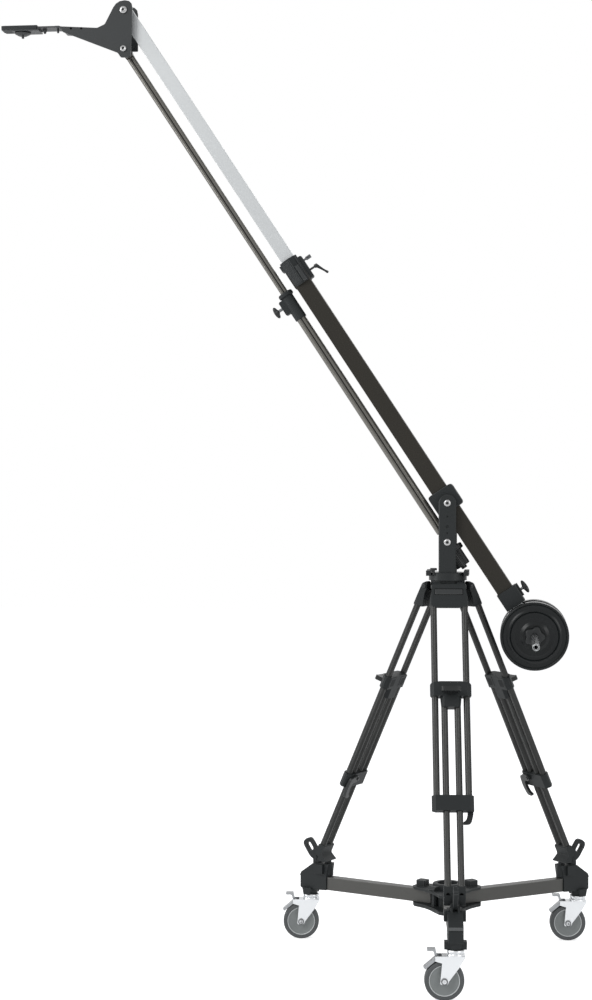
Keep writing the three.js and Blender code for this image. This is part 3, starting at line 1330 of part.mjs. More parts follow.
// Assembly
place('dolly_hub', dollyHub(), blackCasting);
for (const [name, angle] of Object.entries(legTurns)) {
  const turn = angle * degree;
  const spoke = new THREE.Group();
  spoke.rotation.z = turn;
  crane.add(spoke);
  place(`dolly_arm_${name}`, dollyArm(), legTube, spoke);
  place(`dolly_end_${name}`, dollyEnd(), blackCasting, spoke);
  const lever = place(`foot_clamp_${name}`, clampLever(), blackCasting, spoke);
  lever.position.set(clampPivotReach, 0, leverPivotHeight);
  lever.rotation.y = clampLeanDegrees * degree;

  const caster = new THREE.Group();
  caster.position.set(casterReach * Math.cos(turn), casterReach * Math.sin(turn), 0);
  caster.rotation.z = casterYawDegrees * degree;
  crane.add(caster);
  place(`caster_fork_${name}`, casterFork(), zinc, caster);
  place(`caster_wheel_${name}`, casterWheel(), greyRubber, caster);
  place(`caster_brake_${name}`, casterBrake(), zinc, caster);

  const leg = new THREE.Group();
  leg.position.set(hingeReach, 0, hingeHeight);
  leg.rotation.y = -legAngle;
  spoke.add(leg);
  place(`leg_outer_${name}`, legOuter(), legTube, leg);
  place(`leg_inner_${name}`, legInner(), legTube, leg);
  place(`leg_knob_${name}`, legKnob(), blackPlastic, leg);
  place(`leg_lever_${name}`, legLever(), blackPlastic, leg);
}
place('crown', crown(), blackCasting);
place('pan_base', panBase(), blackCasting);
place('pedestal', pedestal(), greyCasting);
place('pan_lock', panLock(), blackPlastic);
const uprightOuter = uprightInner + uprightThickness;
place('tilt_axle', axle(tiltAxleRadius, pivotHeight, uprightOuter, boltHeadRadius, boltHeadHeight),
  brightSteel);
place('rod_rear_axle', axle(rodAxleRadius, rodPivotHeight, uprightOuter, boltHeadRadius, boltHeadHeight),
  brightSteel);

const arm = new THREE.Group();
arm.position.set(0, 0, pivotHeight);
arm.rotation.set(0, armTilt, Math.PI);
crane.add(arm);
place('saddle', saddle(), blackCasting, arm);
place('outer_tube', outerTube(), bronzeTube, arm);
place('inner_tube', innerTube(), silverTube, arm);
place('front_collar', frontCollar(), blackCasting, arm);
place('ratchet_lever', ratchetLever(), blackPlastic, arm);
place('thumb_screw', thumbScrew(), brightSteel, arm);
place('rear_block', rearBlock(), blackCasting, arm);
place('rear_wing_knob', rearWingKnob(), blackPlastic, arm);
place('weight_carrier', weightCarrier(), brightSteel, arm);
place('weight_near', weightDisc(1), castIron, arm);
place('weight_far', weightDisc(-1), castIron, arm);
place('star_near', starCollar(1), blackPlastic, arm);
place('star_far', starCollar(-1), blackPlastic, arm);

const rod = new THREE.Group();
rod.position.set(0, 0, rodPivotHeight);
rod.rotation.set(0, armTilt, Math.PI);
crane.add(rod);
place('rod_outer', rodOuter(), rodTube, rod);
place('rod_inner', rodInner(), rodTube, rod);
place('rod_clamp', rodClamp(), blackCasting, rod);
place('rod_wing_knob', rodWingKnob(), blackPlastic, rod);
place('level_adjuster', levelAdjuster(), blackPlastic, rod);

const head = new THREE.Group();
head.position.set(headPlace, 0, headHeight);
crane.add(head);
const plateOuter = plateHalfGap + plateThickness;
const spacers = [-1, 1].map((side) => bar(headSpacerRadius, [0, side * (innerTubeSize / 2 + slideGap), 0],
  [0, side * (plateHalfGap - seat), 0]));
place('head_bracket', headBracket(), greyCasting, head);
place('head_axle', axle(headAxleRadius, 0, plateOuter, headCapRadius, headCapHeight, spacers), brightSteel,
  head);
place('rod_front_axle', rodFrontAxle(), brightSteel, head);
place('camera_plate', cameraPlate(), blackCasting, head);
place('camera_screw', cameraScrew(), blackPlastic, head);

export default crane;
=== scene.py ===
"""Camera jib crane: the looks of each piece, in the order in which the crane is put together.
Metres, +Z up, with outlines and finishing sizes in millimetres. The arm lies in the XZ plane with the camera
head towards -X, and the viewer stands towards -Y."""
import json
from math import cos, pi, radians, sin

import bmesh
import bpy
from mathutils import Matrix, Vector


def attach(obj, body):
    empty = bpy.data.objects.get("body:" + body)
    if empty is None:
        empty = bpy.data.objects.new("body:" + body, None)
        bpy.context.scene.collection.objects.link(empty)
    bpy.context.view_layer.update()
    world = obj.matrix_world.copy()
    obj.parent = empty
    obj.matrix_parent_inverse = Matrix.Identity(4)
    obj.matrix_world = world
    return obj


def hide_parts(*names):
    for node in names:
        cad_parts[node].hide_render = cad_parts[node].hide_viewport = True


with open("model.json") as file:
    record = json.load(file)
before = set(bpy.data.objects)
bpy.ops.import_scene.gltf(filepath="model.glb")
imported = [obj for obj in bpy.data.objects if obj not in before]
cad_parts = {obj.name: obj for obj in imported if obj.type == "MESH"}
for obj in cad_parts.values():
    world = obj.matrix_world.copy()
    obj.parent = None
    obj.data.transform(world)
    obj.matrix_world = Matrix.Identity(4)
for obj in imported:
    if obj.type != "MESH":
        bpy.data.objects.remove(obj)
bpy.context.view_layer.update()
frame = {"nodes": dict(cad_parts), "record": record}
scene = bpy.context.scene
scene.view_settings.view_transform = "Standard"

# --- Studio ------------------------------------------------------------------------------------------------
# The camera stands 5.3 m in front of the crane at chest height, with a long lens. The studio is a plain pale
# floor under four soft lamps; the camera and the gloss of the metal see white behind the crane.
camera = bpy.data.objects.new("camera", bpy.data.cameras.new("camera"))
camera.location = (0.1756, -5.2772, 1.2906)
camera.rotation_euler = (pi / 2 - 0.010, 0, 0.111)
camera.data.sensor_width = 36
camera.data.lens = 70.2
camera.data.clip_end = 60
scene.collection.objects.link(camera)
scene.camera = camera


def seen(tree):
    """One for rays of the camera, of reflections and of clear materials, nought for rays that light."""
    path = tree.nodes.new("ShaderNodeLightPath")
    total = path.outputs["Is Camera Ray"]
    for name in ("Is Glossy Ray", "Is Transmission Ray"):
        either = tree.nodes.new("ShaderNodeMath")
        either.operation = "MAXIMUM"
        tree.links.new(total, either.inputs[0])
        tree.links.new(path.outputs[name], either.inputs[1])
        total = either.outputs[0]
    return total


world = bpy.data.worlds.new("studio")
scene.world = world
world.use_nodes = True
tree = world.node_tree
lit_sky = tree.nodes["Background"]
lit_sky.inputs["Color"].default_value = (0.95, 0.97, 1, 1)
lit_sky.inputs["Strength"].default_value = 0.42
white_sky = tree.nodes.new("ShaderNodeBackground")
white_sky.inputs["Color"].default_value = (1, 1, 1, 1)
either_sky = tree.nodes.new("ShaderNodeMixShader")
tree.links.new(seen(tree), either_sky.inputs["Fac"])
tree.links.new(lit_sky.outputs[0], either_sky.inputs[1])
tree.links.new(white_sky.outputs[0], either_sky.inputs[2])
tree.links.new(either_sky.outputs[0], tree.nodes["World Output"].inputs["Surface"])

floor_half = 14
floor_white = (0.93, 0.93, 0.93, 1)
floor_glow = 0.64
bm = bmesh.new()
bmesh.ops.create_grid(bm, x_segments=1, y_segments=1, size=floor_half)
floor = bpy.data.objects.new("floor", bpy.data.meshes.new("floor"))
bm.to_mesh(floor.data)
bm.free()
scene.collection.objects.link(floor)
paint = bpy.data.materials.new("studio floor")
paint.use_nodes = True
tree = paint.node_tree
matt = tree.nodes["Principled BSDF"]
matt.inputs["Base Color"].default_value = floor_white
matt.inputs["Roughness"].default_value = 0.95
matt.inputs["Specular IOR Level"].default_value = 0
glow = tree.nodes.new("ShaderNodeEmission")
share = tree.nodes.new("ShaderNodeMath")
share.operation = "MULTIPLY"
share.inputs[1].default_value = floor_glow
tree.links.new(seen(tree), share.inputs[0])
tree.links.new(share.outputs[0], glow.inputs["Strength"])
both = tree.nodes.new("ShaderNodeAddShader")
tree.links.new(matt.outputs[0], both.inputs[0])
tree.links.new(glow.outputs[0], both.inputs[1])
tree.links.new(both.outputs[0], tree.nodes["Material Output"].inputs["Surface"])
floor.data.materials.append(paint)

lamp_target = Vector((0, 0, 1.1))
lamps = {  # place, size and watts
    "key": ((-3.4, -3.4, 4.0), (2.0, 2.6), 105),
    "fill": ((3.8, -3.2, 2.4), (1.8, 2.6), 55),
    "rim": ((1.6, 3.4, 3.9), (2.6, 1.6), 45),
    "strip": ((-4.4, -0.9, 1.7), (0.7, 3.2), 60),
}
for name, (place, size, watts) in lamps.items():
    lamp = bpy.data.objects.new(name, bpy.data.lights.new(name, "AREA"))
    lamp.data.shape = "RECTANGLE"
    lamp.data.size, lamp.data.size_y = size
    lamp.data.energy = watts
    lamp.location = place
    lamp.rotation_euler = (lamp_target - Vector(place)).to_track_quat("-Z", "Y").to_euler()
    scene.collection.objects.link(lamp)

# --- Casters -----------------------------------------------------------------------------------------------
# Three braked casters of 100 mm: a grey rubber tyre with a pale bead on a moulded core, in a pressed and zinc
# plated fork that turns on a ball race. The fork's stem is pushed into the end of a dolly arm.
mm = 0.001
weld = 0.01 * mm
legs = {"right": radians(34.53), "left": radians(154.53), "front": radians(274.53)}
caster_reach = 0.432
caster_yaw = radians(4.53)
caster_trail = 0.028
wheel_radius = 0.050
streak_stretch = (40, 1, 1)
patch_scale = 11
bump_strength = 0.3
bare_tone, bare_share = 0.42, 0.5


def finish(name, colour, metallic, roughness, grain=900, depth=0.0001, tone=0.12, worn=0.2, along=None,
           gloss=0.4):
    """A finish with fine grain, slow changes of tone and paler worn edges; along gives brushed streaks."""
    material = bpy.data.materials.new(name)
    material.use_nodes = True
    nodes, links = material.node_tree.nodes, material.node_tree.links
    shader = nodes["Principled BSDF"]
    shader.inputs["Metallic"].default_value = metallic
    shader.inputs["Specular IOR Level"].default_value = gloss
    place = nodes.new("ShaderNodeTexCoord").outputs["Object"]

    def noise(scale, detail, source=place):
        node = nodes.new("ShaderNodeTexNoise")
        node.inputs["Scale"].default_value = scale
        node.inputs["Detail"].default_value = detail
        links.new(source, node.inputs["Vector"])
        return node.outputs["Fac"]

    def ranged(value, low, high):
        node = nodes.new("ShaderNodeMapRange")
        node.inputs["To Min"].default_value = low
        node.inputs["To Max"].default_value = high
        links.new(value, node.inputs["Value"])
        return node.outputs["Result"]

    def mixed(factor, first, second):
        node = nodes.new("ShaderNodeMix")
        node.data_type = "RGBA"
        links.new(factor, node.inputs["Factor"])
        for socket, value in zip(node.inputs[6:8], (first, second)):
            if isinstance(value, tuple):
                socket.default_value = value
            else:
                links.new(value, socket)
        return node.outputs[2]

    if along:
        mapping = nodes.new("ShaderNodeMapping")
        mapping.vector_type = "TEXTURE"
        mapping.inputs["Rotation"].default_value = along
        mapping.inputs["Scale"].default_value = streak_stretch
        links.new(place, mapping.inputs["Vector"])
        fine = noise(grain, 2, mapping.outputs[0])
    else:
        fine = noise(grain, 3)
    slow = noise(patch_scale, 4)
    dark = tuple(c * (1 - tone) for c in colour) + (1,)
    light = tuple(min(1, c * (1 + tone)) for c in colour) + (1,)
    body = mixed(ranged(fine, 0, 1), mixed(slow, dark, light), colour + (1,))
    edge = nodes.new("ShaderNodeAttribute")
    edge.attribute_name = "wear"
    rub = nodes.new("ShaderNodeMath")
    rub.operation = "MULTIPLY"
    rub.use_clamp = True
    links.new(edge.outputs["Fac"], rub.inputs[0])
    links.new(ranged(slow, -worn, worn * 3), rub.inputs[1])
    pale = tuple(c + (bare_tone - c) * bare_share if c < bare_tone else c for c in colour) + (1,)
    links.new(mixed(rub.outputs[0], body, pale), shader.inputs["Base Color"])
    links.new(ranged(fine, roughness - tone / 2, roughness + tone / 2), shader.inputs["Roughness"])
    bump = nodes.new("ShaderNodeBump")
    bump.inputs["Strength"].default_value = bump_strength
    bump.inputs["Distance"].default_value = depth
    links.new(fine, bump.inputs["Height"])
    links.new(bump.outputs[0], shader.inputs["Normal"])
    return material


def ease(bm, width, corner=35, segments=2):
    """Rounds the edges that turn by more than corner degrees, and marks the rounded faces as worn."""
    wear = bm.faces.layers.float.get("wear") or bm.faces.layers.float.new("wear")
    sharp = [e for e in bm.edges if len(e.link_faces) == 2 and e.calc_face_angle(0) > radians(corner)]
    rounded = bmesh.ops.bevel(bm, geom=sharp, offset=width * mm, segments=segments, profile=0.5,
                              affect="EDGES", clamp_overlap=True, material=-1)
    for face in rounded["faces"]:
        face[wear] = 1
    return bm


wall_shares = (0.9, 1.01)
wall_slope = 0.2
flat_angle = radians(1.5)


def on_wall(face, start, direction, radius):
    """Whether a face belongs to the plain wall of a round tube."""
    shares = [(vert.co - start).cross(direction).length / (radius * mm) for vert in face.verts]
    low, high = wall_shares
    return abs(face.normal.dot(direction)) < wall_slope and low < min(shares) and max(shares) < high


def packed(node, width, corner=35, segments=2, bare=()):
    """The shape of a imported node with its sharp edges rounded; bare names tubes, as (start, direction, radius),
    whose plain walls are left out because a finer tube takes their place."""
    bm = bmesh.new()
    bm.from_mesh(frame["nodes"][node].data)
    bmesh.ops.remove_doubles(bm, verts=bm.verts, dist=weld)
    for tube in bare:
        walls = [face for face in bm.faces if on_wall(face, *tube)]
        bmesh.ops.delete(bm, geom=walls, context="FACES")
    bmesh.ops.dissolve_limit(bm, angle_limit=flat_angle, verts=bm.verts, edges=bm.edges)
    return ease(bm, width, corner, segments)


def turned(outline, place, along, steps=64, shape=None):
    """An outline of (radius, height) pairs turned about a line; shape changes the radius by the angle."""
    bm = bmesh.new()
    verts = [bm.verts.new((radius * mm, 0, height * mm)) for radius, height in outline]
    edges = [bm.edges.new(pair) for pair in zip(verts, verts[1:])]
    bmesh.ops.spin(bm, geom=verts + edges, cent=(0, 0, 0), axis=(0, 0, 1), angle=2 * pi, steps=steps,
                   use_merge=True)
    bmesh.ops.remove_doubles(bm, verts=bm.verts, dist=weld)
    if shape:
        for vert in bm.verts:
            radius = vert.co.xy.length / mm
            if radius > 0:
                angle = Vector((1, 0)).angle_signed(vert.co.xy, 0)
                vert.co.xy *= shape(radius, angle) / radius
    bmesh.ops.recalc_face_normals(bm, faces=bm.faces)
    turn = Vector(along).to_track_quat("Z", "Y").to_matrix().to_4x4()
    bmesh.ops.transform(bm, matrix=Matrix.Translation(place) @ turn, verts=bm.verts)
    return bm


def joined(*parts):
    """One bmesh of several."""
    whole = bmesh.new()
    for part in parts:
        mesh = bpy.data.meshes.new("part")
        part.to_mesh(mesh)
        part.free()
        whole.from_mesh(mesh)
        bpy.data.meshes.remove(mesh)
    return whole


def piece(name, bm, node, material, smooth=38):
    """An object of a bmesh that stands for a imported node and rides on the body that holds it."""
    mesh = bpy.data.meshes.new(name)
    bm.to_mesh(mesh)
    bm.free()
    mesh.materials.append(material)
    mesh.shade_smooth()
    mesh.set_sharp_from_angle(angle=radians(smooth))
    made = bpy.data.objects.new(name, mesh)
    scene.collection.objects.link(made)
    even = made.modifiers.new("even shading", "WEIGHTED_NORMAL")
    even.keep_sharp = True
    bodies = frame["record"]["behaviour"]["bodies"]
    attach(made, next(body for body, nodes in bodies.items() if node in nodes))
    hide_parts(node)
    return made


def both_sides(outline):
    """An outline and its mirror image, as one closed ring."""
    ring = outline + [(radius, -height) for radius, height in reversed(outline)]
    return ring + ring[:1]


zinc = finish("zinc plating", (0.66, 0.675, 0.69), 0.85, 0.3, grain=500, depth=0.00008, tone=0.1)
rubber = finish("grey rubber", (0.088, 0.093, 0.095), 0, 0.7, depth=0.0002, worn=0.05)
core_plastic = finish("grey moulded core", (0.215, 0.23, 0.228), 0, 0.42, grain=600)
bead_plastic = finish("pale bead", (0.62, 0.64, 0.64), 0, 0.5, grain=600)
axle_steel = finish("plated axle", (0.13, 0.134, 0.138), 1, 0.35, grain=600, tone=0.1)
brake_zinc = finish("worn zinc", (0.3, 0.31, 0.32), 0.85, 0.34, grain=500, depth=0.00008, tone=0.2)

tyre = [(38.5, 12.5), (39.5, 13.6), (45.5, 14.4), (48.5, 12.8), (49.8, 9.5), (50, 5)]
core = [(7, 12.5), (12, 12.5), (12.5, 10.5), (27, 9.5), (33, 11.2), (36.6, 11.6)]
bead = [(36.4, 11.4), (36.8, 12.8), (38, 13.4), (38.9, 12.4)]
race = [(12, 111), (23.1, 111), (23.3, 114), (22.4, 116.5), (20.6, 118.4), (20.6, 119.6), (22.4, 121),
        (22.4, 124), (21, 126.2), (7, 126.4)]
axle_cap = [(0, 23.5), (4.4, 23.5), (5.2, 22.8), (5.2, 18)]
axle_nut = [(5.1, 23.2), (5.4, 23.8), (7.6, 23.9), (8.4, 23.2), (8.4, 19.6)]
trail = Vector((-cos(caster_yaw), -sin(caster_yaw), 0))
across = Vector((sin(caster_yaw), -cos(caster_yaw), 0))
for name, angle in legs.items():
    swivel = Vector((cos(angle), sin(angle), 0)) * caster_reach
    hub_place = swivel + trail * caster_trail + Vector((0, 0, wheel_radius))
    wheel, fork, brake = (f"caster_{part}_{name}" for part in ("wheel", "fork", "brake"))
    for part, outline, steps, material in (("tyre", tyre, 96, rubber), ("core", core, 72, core_plastic),
                                           ("bead", bead, 72, bead_plastic)):
        ring = turned(both_sides(outline), hub_place, across, steps)
        piece(f"{part}_{name}", ring, wheel, material)
    piece(f"race_{name}", turned(race, swivel, (0, 0, 1)), fork, zinc)
    piece(f"fork_{name}", packed(fork, 0.8), fork, zinc)
    for part, outline, material in (("caps", axle_cap, zinc), ("nuts", axle_nut, axle_steel)):
        ends = [turned(outline, hub_place, across * side, 32) for side in (-1, 1)]
        piece(f"axle_{part}_{name}", joined(*ends), fork, material)
    piece(f"brake_{name}", packed(brake, 0.9), brake, brake_zinc)

# --- Dolly arms --------------------------------------------------------------------------------------------
# Each arm is a rectangular aluminium tube, anodised dark, with a black cast end over it that takes the caster's
# stem and a foot of the tripod; a cast loop lever on a pin locks the foot in its cup. The casting's outer
# corner is a smooth sloping ledge.
black_coat = finish("black powder coat", (0.0165, 0.019, 0.0198), 0, 0.55, grain=1500, depth=0.0002, worn=0.18,
                    gloss=0.22)
insert_coat = finish("insert lacquer", (0.022, 0.0245, 0.0255), 0, 0.3, grain=1200, depth=0.00005, worn=0.3)
# The sloping ledge on each end casting is given a paler grey than the casting.
ledge_grey = finish("ledge grey", (0.085, 0.09, 0.092), 0, 0.28, grain=1200, depth=0.00005, worn=0.3)
ledge_place = (0.4556, 0, 0.1826)
ledge_slope = radians(-32)
ledge_size = (2.4, 36, 10)


def pad(base, middle, size, width):
    """A flat rounded pad; its middle and size are along the axes of a base frame."""
    bm = bmesh.new()
    bmesh.ops.create_cube(bm, size=1)
    bmesh.ops.scale(bm, vec=[length * mm for length in size], verts=bm.verts)
    matrix = base @ Matrix.Translation([length * mm for length in middle])
    bmesh.ops.transform(bm, matrix=matrix, verts=bm.verts)
    return ease(bm, width, segments=3)


for name, angle in legs.items():
    outward = Matrix.Rotation(angle, 4, "Z")
    arm_metal = finish(f"dolly arm anodising {name}", (0.069, 0.0685, 0.064), 0.3, 0.42, grain=1200,
                       depth=0.00004, along=(0, 0, angle))
    node = f"dolly_arm_{name}"
    piece(f"arm_tube_{name}", packed(node, 2.2, segments=3), node, arm_metal)
    node = f"dolly_end_{name}"
    piece(f"end_casting_{name}", packed(node, 1.6), node, black_coat)
    slope = outward @ Matrix.Translation(ledge_place) @ Matrix.Rotation(ledge_slope, 4, "Y")
    ledge = pad(slope, (0, 0, 0), ledge_size, 0.5)
    piece(f"end_ledge_{name}", ledge, node, ledge_grey)
    node = f"foot_clamp_{name}"
    piece(f"clamp_loop_{name}", packed(node, 2.2, 30, 3), node, black_coat)

# --- Dolly hub ---------------------------------------------------------------------------------------------
# Two cast star plates hold the arms on pins round an open collar; both are black, with a turned rim on top and
# a shallow dish underneath.
hub_ring = [(27.9, 187.5), (40.2, 187.5), (40.2, 200.5), (39, 202.6), (37, 203.5), (31, 203.5), (29, 202.8),
            (27.9, 201), (27.9, 187.5)]
hub_dish = [(27.9, 122.7), (36.2, 122.7), (58.2, 134.9), (58.2, 136)]
rims = [turned(outline, (0, 0, 0), (0, 0, 1), 96) for outline in (hub_ring, hub_dish)]
piece("hub_rims", joined(*rims), "dolly_hub", black_coat)
piece("hub_plates", packed("dolly_hub", 1.4), "dolly_hub", black_coat)

# --- Tripod legs -------------------------------------------------------------------------------------------
# Each leg has two outer tubes between a cast shoulder and a cast bracket, and two inner tubes that slide
# through it, from a cast slider to the foot. The tubes are fluted aluminium, anodised dark grey.
leg_lean = radians(24.5)
hinge_reach, hinge_height = 0.050, 1.006
tube_radius, flute_depth = 8.82, 1
packed_tube_radius = 8.75
tube_inset = 2.7
tube_pairs = {"outer": (41.25, 52, 610), "inner": (17, 290, 815)}  # half the spacing, start and end
# Near-black matte finish: painted shade in the gap round the shoulder insert, and the black of the small cheek
# screws.
gap_shade_and_screw_black = finish("gap shade and screw black", (0.004, 0.004, 0.004), 0, 0.8, worn=0, gloss=0.05)
# A darker matte coat that is painted shade in the slider's recess.
recess_shade = finish("painted recess shade", (0.009, 0.0105, 0.011), 0, 0.6, grain=1200, worn=0, gloss=0.12)
plastic = finish("black plastic", (0.014, 0.0155, 0.016), 0, 0.4, grain=1200, depth=0.0002, worn=0.12,
                 gloss=0.3)
leg_pads = {  # leg section, coat, size, rounding and middles
    "shoulder_insert": ("outer", insert_coat, (1.3, 72.4, 14.4), 1.1, [(7.65, 0, -17)]),
    # The dark frame round the shoulder insert is painted shade in the gap of its recess.
    "shoulder_seam": ("outer", gap_shade_and_screw_black, (0.3, 75.6, 17.6), 0.05, [(7.15, 0, -17)]),
    "slider_frames": ("inner", black_coat, (1.6, 30, 30), 0.7, [(-15.6, -27, -288), (-15.6, 27, -288)]),
    # The dark pads inside the slider frames are painted recess shade.
    "slider_recesses": ("inner", recess_shade, (0.4, 20, 21), 0.1, [(-16.3, -27, -288), (-16.3, 27, -288)]),
}


def fluted(radius, angle):
    """A round tube with four shallow flutes along it."""
    return radius - flute_depth * max(0, cos(4 * angle)) ** 4


def point(base, *place):
    """A point given in millimetres along the axes of a base frame."""
    return base @ Vector([length * mm for length in place])


for name, angle in legs.items():
    hinge = Matrix.Rotation(angle, 4, "Z") @ Matrix.Translation((hinge_reach, 0, hinge_height))
    leg = hinge @ Matrix.Rotation(-leg_lean, 4, "Y")
    down = leg.to_3x3() @ Vector((0, 0, -1))
    leg_metal = finish(f"leg anodising {name}", (0.029, 0.0297, 0.0287), 0.3, 0.3, grain=1200, depth=0.00004,
                       along=(0, pi / 2 - leg_lean, angle), gloss=0.3)
    for part, (half, start, end) in tube_pairs.items():
        node = f"leg_{part}_{name}"
        outline = [(0, 0), (tube_radius, 0), (tube_radius, end - start), (0, end - start)]
        tops = [point(leg, -tube_inset, side * half, -start) for side in (-1, 1)]
        tubes = [turned(outline, top, down, 96, fluted) for top in tops]
        piece(f"{part}_tubes_{name}", joined(*tubes), node, leg_metal)
        castings = packed(node, 1.8, corner=38, bare=[(top, down, packed_tube_radius) for top in tops])
        piece(f"{part}_castings_{name}", castings, node, black_coat)
    for part, (section, coat, size, width, middles) in leg_pads.items():
        pads = [pad(leg, middle, size, width) for middle in middles]
        piece(f"{part}_{name}", joined(*pads), f"leg_{section}_{name}", coat)
    for part, width in (("knob", 2.4), ("lever", 1.6)):
        node = f"leg_{part}_{name}"
        piece(f"{part}_{name}", packed(node, width, 30, 3), node, plastic)

# --- Crown and pan base ------------------------------------------------------------------------------------
# A cast crown carries the three hinges under a turned disc, and the pan base is screwed on top of it. A round
# bolt head covers each end of a hinge pin.
crown_rim = [(20, 1002.4), (44.1, 1002.4), (44.1, 1014.6), (43, 1015.8), (20, 1015.8)]
pan_rim = [(20, 1015.9), (46.1, 1015.9), (46.1, 1021), (45, 1022.1), (20, 1022.1)]
for node, outline, width in (("crown", crown_rim, 1), ("pan_base", pan_rim, 0.8)):
    piece(f"{node}_rim", turned(outline, (0, 0, 0), (0, 0, 1), 96), node, black_coat)
    piece(f"{node}_body", packed(node, width), node, black_coat)
hinge_bolt = [(0, 2), (2.6, 2), (2.9, 2.8), (4.9, 2.7), (6, 2), (6.6, 0.8), (6.6, -1)]
hinge_half = 44.6 * mm
bolts = []
for angle in legs.values():
    outward = Matrix.Rotation(angle, 4, "Z")
    for side in (-1, 1):
        place = outward @ Vector((hinge_reach, side * hinge_half, hinge_height))
        bolts.append(turned(hinge_bolt, place, outward.to_3x3() @ Vector((0, side, 0)), 32))
piece("hinge_bolts", joined(*bolts), "crown", insert_coat)

# --- Pedestal ----------------------------------------------------------------------------------------------
# Two uprights machined from plate stand on the turning disc, anodised dark grey, with socket-headed axle bolts
# of bright steel across them and a small black pan lock in front.
grey_coat = finish("grey anodising", (0.0185, 0.021, 0.0215), 0.1, 0.4, grain=1600, depth=0.0001, worn=0.16,
                   gloss=0.24)
steel = finish("bright steel", (0.36, 0.36, 0.36), 1, 0.3, grain=700, tone=0.14)
upright_face = 44 * mm
pivot_height = 1.230
bolt_spacing = 0.105
socket_radius, socket_depth, socket_chamfer = 4.2, 2.4, 0.5
dome = ((0.6, 0.25), (0.76, 0.8), (0.88, 1.5), (0.96, 2.3))
dome_depth = 3.2
axle_head_radius, axle_head_height = 9.6, 4.35
axle_half = 45


def hexagon(radius, angle):
    """Round outside the socket, six-sided within it."""
    if radius > socket_radius * 1.05:
        return radius
    return radius * cos(pi / 6) / cos((angle % (pi / 3)) - pi / 6)


def bolt_head(place, along, radius, height):
    """A domed bolt head with a hexagon socket, standing on a face."""
    floor = height - socket_depth
    crown = [(radius * share, height - drop) for share, drop in dome]
    outline = [(0, floor), (socket_radius, floor), (socket_radius, height - 0.2),
               (socket_radius + socket_chamfer, height), *crown, (radius, height - dome_depth), (radius, 0)]
    return turned(outline, place, along, 72, hexagon)


def socket_shade_cup(place, along, height):
    """The dark bottom of a hexagon socket: a cup of painted shade in the hole."""
    reach, floor = socket_radius * 0.97, height - socket_depth + 0.1
    outline = [(0, floor), (reach, floor), (reach, height - socket_depth / 2)]
    return turned(outline, place, along, 72, hexagon)


def shaft(place, radius, start, end):
    """A plain round bar across the crane."""
    return turned([(0, start), (radius, start), (radius, end), (0, end)], place, (0, 1, 0))


def axle_bolts(node, ends, radius, height):
    """The heads of an axle's bolts and the painted shade at the bottom of each socket, at (place, direction)
    pairs.
    """
    heads = [bolt_head(*end, radius, height) for end in ends]
    piece(f"{node}_heads", joined(*heads), node, steel)
    shade_cups = [socket_shade_cup(*end, height) for end in ends]
    piece(f"{node}_socket_shades", joined(*shade_cups), node, plastic)


turning_disc = [(30, 1022.3), (51.1, 1022.3), (51.1, 1041.4), (49.6, 1043.1), (30, 1043.1)]
piece("pedestal_disc", turned(turning_disc, (0, 0, 0), (0, 0, 1), 96), "pedestal", grey_coat)
piece("pedestal_body", packed("pedestal", 1.5, 30, 3), "pedestal", grey_coat)
for node, height, radius in (("tilt_axle", pivot_height, 8), ("rod_rear_axle", pivot_height - bolt_spacing, 7)):
    ends = [((0, side * upright_face, height), (0, side, 0)) for side in (-1, 1)]
    axle_bolts(node, ends, axle_head_radius, axle_head_height)
    bar = shaft((0, 0, height), radius, -axle_half, axle_half)
    piece(f"{node}_shaft", bar, node, steel)
piece("pan_lock_grip", packed("pan_lock", 1.4), "pan_lock", plastic)

# --- Arm ---------------------------------------------------------------------------------------------------
# A square tube of bronze anodised aluminium in a black saddle, with a plain silver one sliding in it. A ribbed
# black collar, split on top, clamps the inner tube by a cranked lever; a knurled screw locks it.
arm_turn = Vector((-0.5488, 0, 0.8360))
arm_up = Vector((0.8360, 0, 0.5488))
arm_axes = Matrix((arm_turn, (0, -1, 0), arm_up)).transposed().to_4x4()
arm_frame = Matrix.Translation((0, 0, pivot_height)) @ arm_axes
tilt = radians(56.72)
bronze = finish("bronze anodising", (0.0245, 0.0222, 0.0178), 0.1, 0.42, grain=1200, depth=0.00004, worn=0.16,
                along=(0, tilt, 0), gloss=0.2)
silver = finish("silver anodising", (0.53, 0.545, 0.55), 0.35, 0.4, grain=260, depth=0.000002, tone=0.03,
                along=(0, tilt, 0))
for node, width, material, slot in (("saddle", 1.5, black_coat, "black_casting"),
                                    ("outer_tube", 1.6, bronze, "bronze_tube"),
                                    ("inner_tube", 1.6, silver, "silver_tube"),
                                    ("front_collar", 1.0, black_coat, "black_casting"),
                                    ("rear_block", 1.4, black_coat, "black_casting")):
    piece(f"{node}_body", packed(node, width, segments=3), node, material)

rib_coat = finish("rib coat", (0.03, 0.033, 0.034), 0, 0.35, grain=1200, depth=0.0001, worn=0.3)
rib_start, rib_length, rib_radius = 716, 70, 1.2
rib = [(0, 0), (rib_radius, rib_radius), (rib_radius, rib_length - rib_radius), (0, rib_length)]
collar_side = [(-26, 20), (-13, 28.7), (0, 33), (12.5, 28.7), (25, 20)]
ribs = []
for height in (-20, -16.5, -13, -9.5, -6, -2.5, 1.5, 20):
    spans = zip(collar_side, collar_side[1:])
    (low, low_half), (high, high_half) = next(span for span in spans if span[0][0] <= height <= span[1][0])
    half = low_half + (high_half - low_half) * (height - low) / (high - low)
    for side in (-1, 1):
        start = point(arm_frame, rib_start, side * (half - rib_radius / 2), height)
        ribs.append(turned(rib, start, arm_turn, 12))
piece("collar_ribs", joined(*ribs), "front_collar", rib_coat)
pads = [pad(arm_frame, (737, side * 34.3, 11), (45, 1.6, 8.6), 0.75) for side in (-1, 1)]
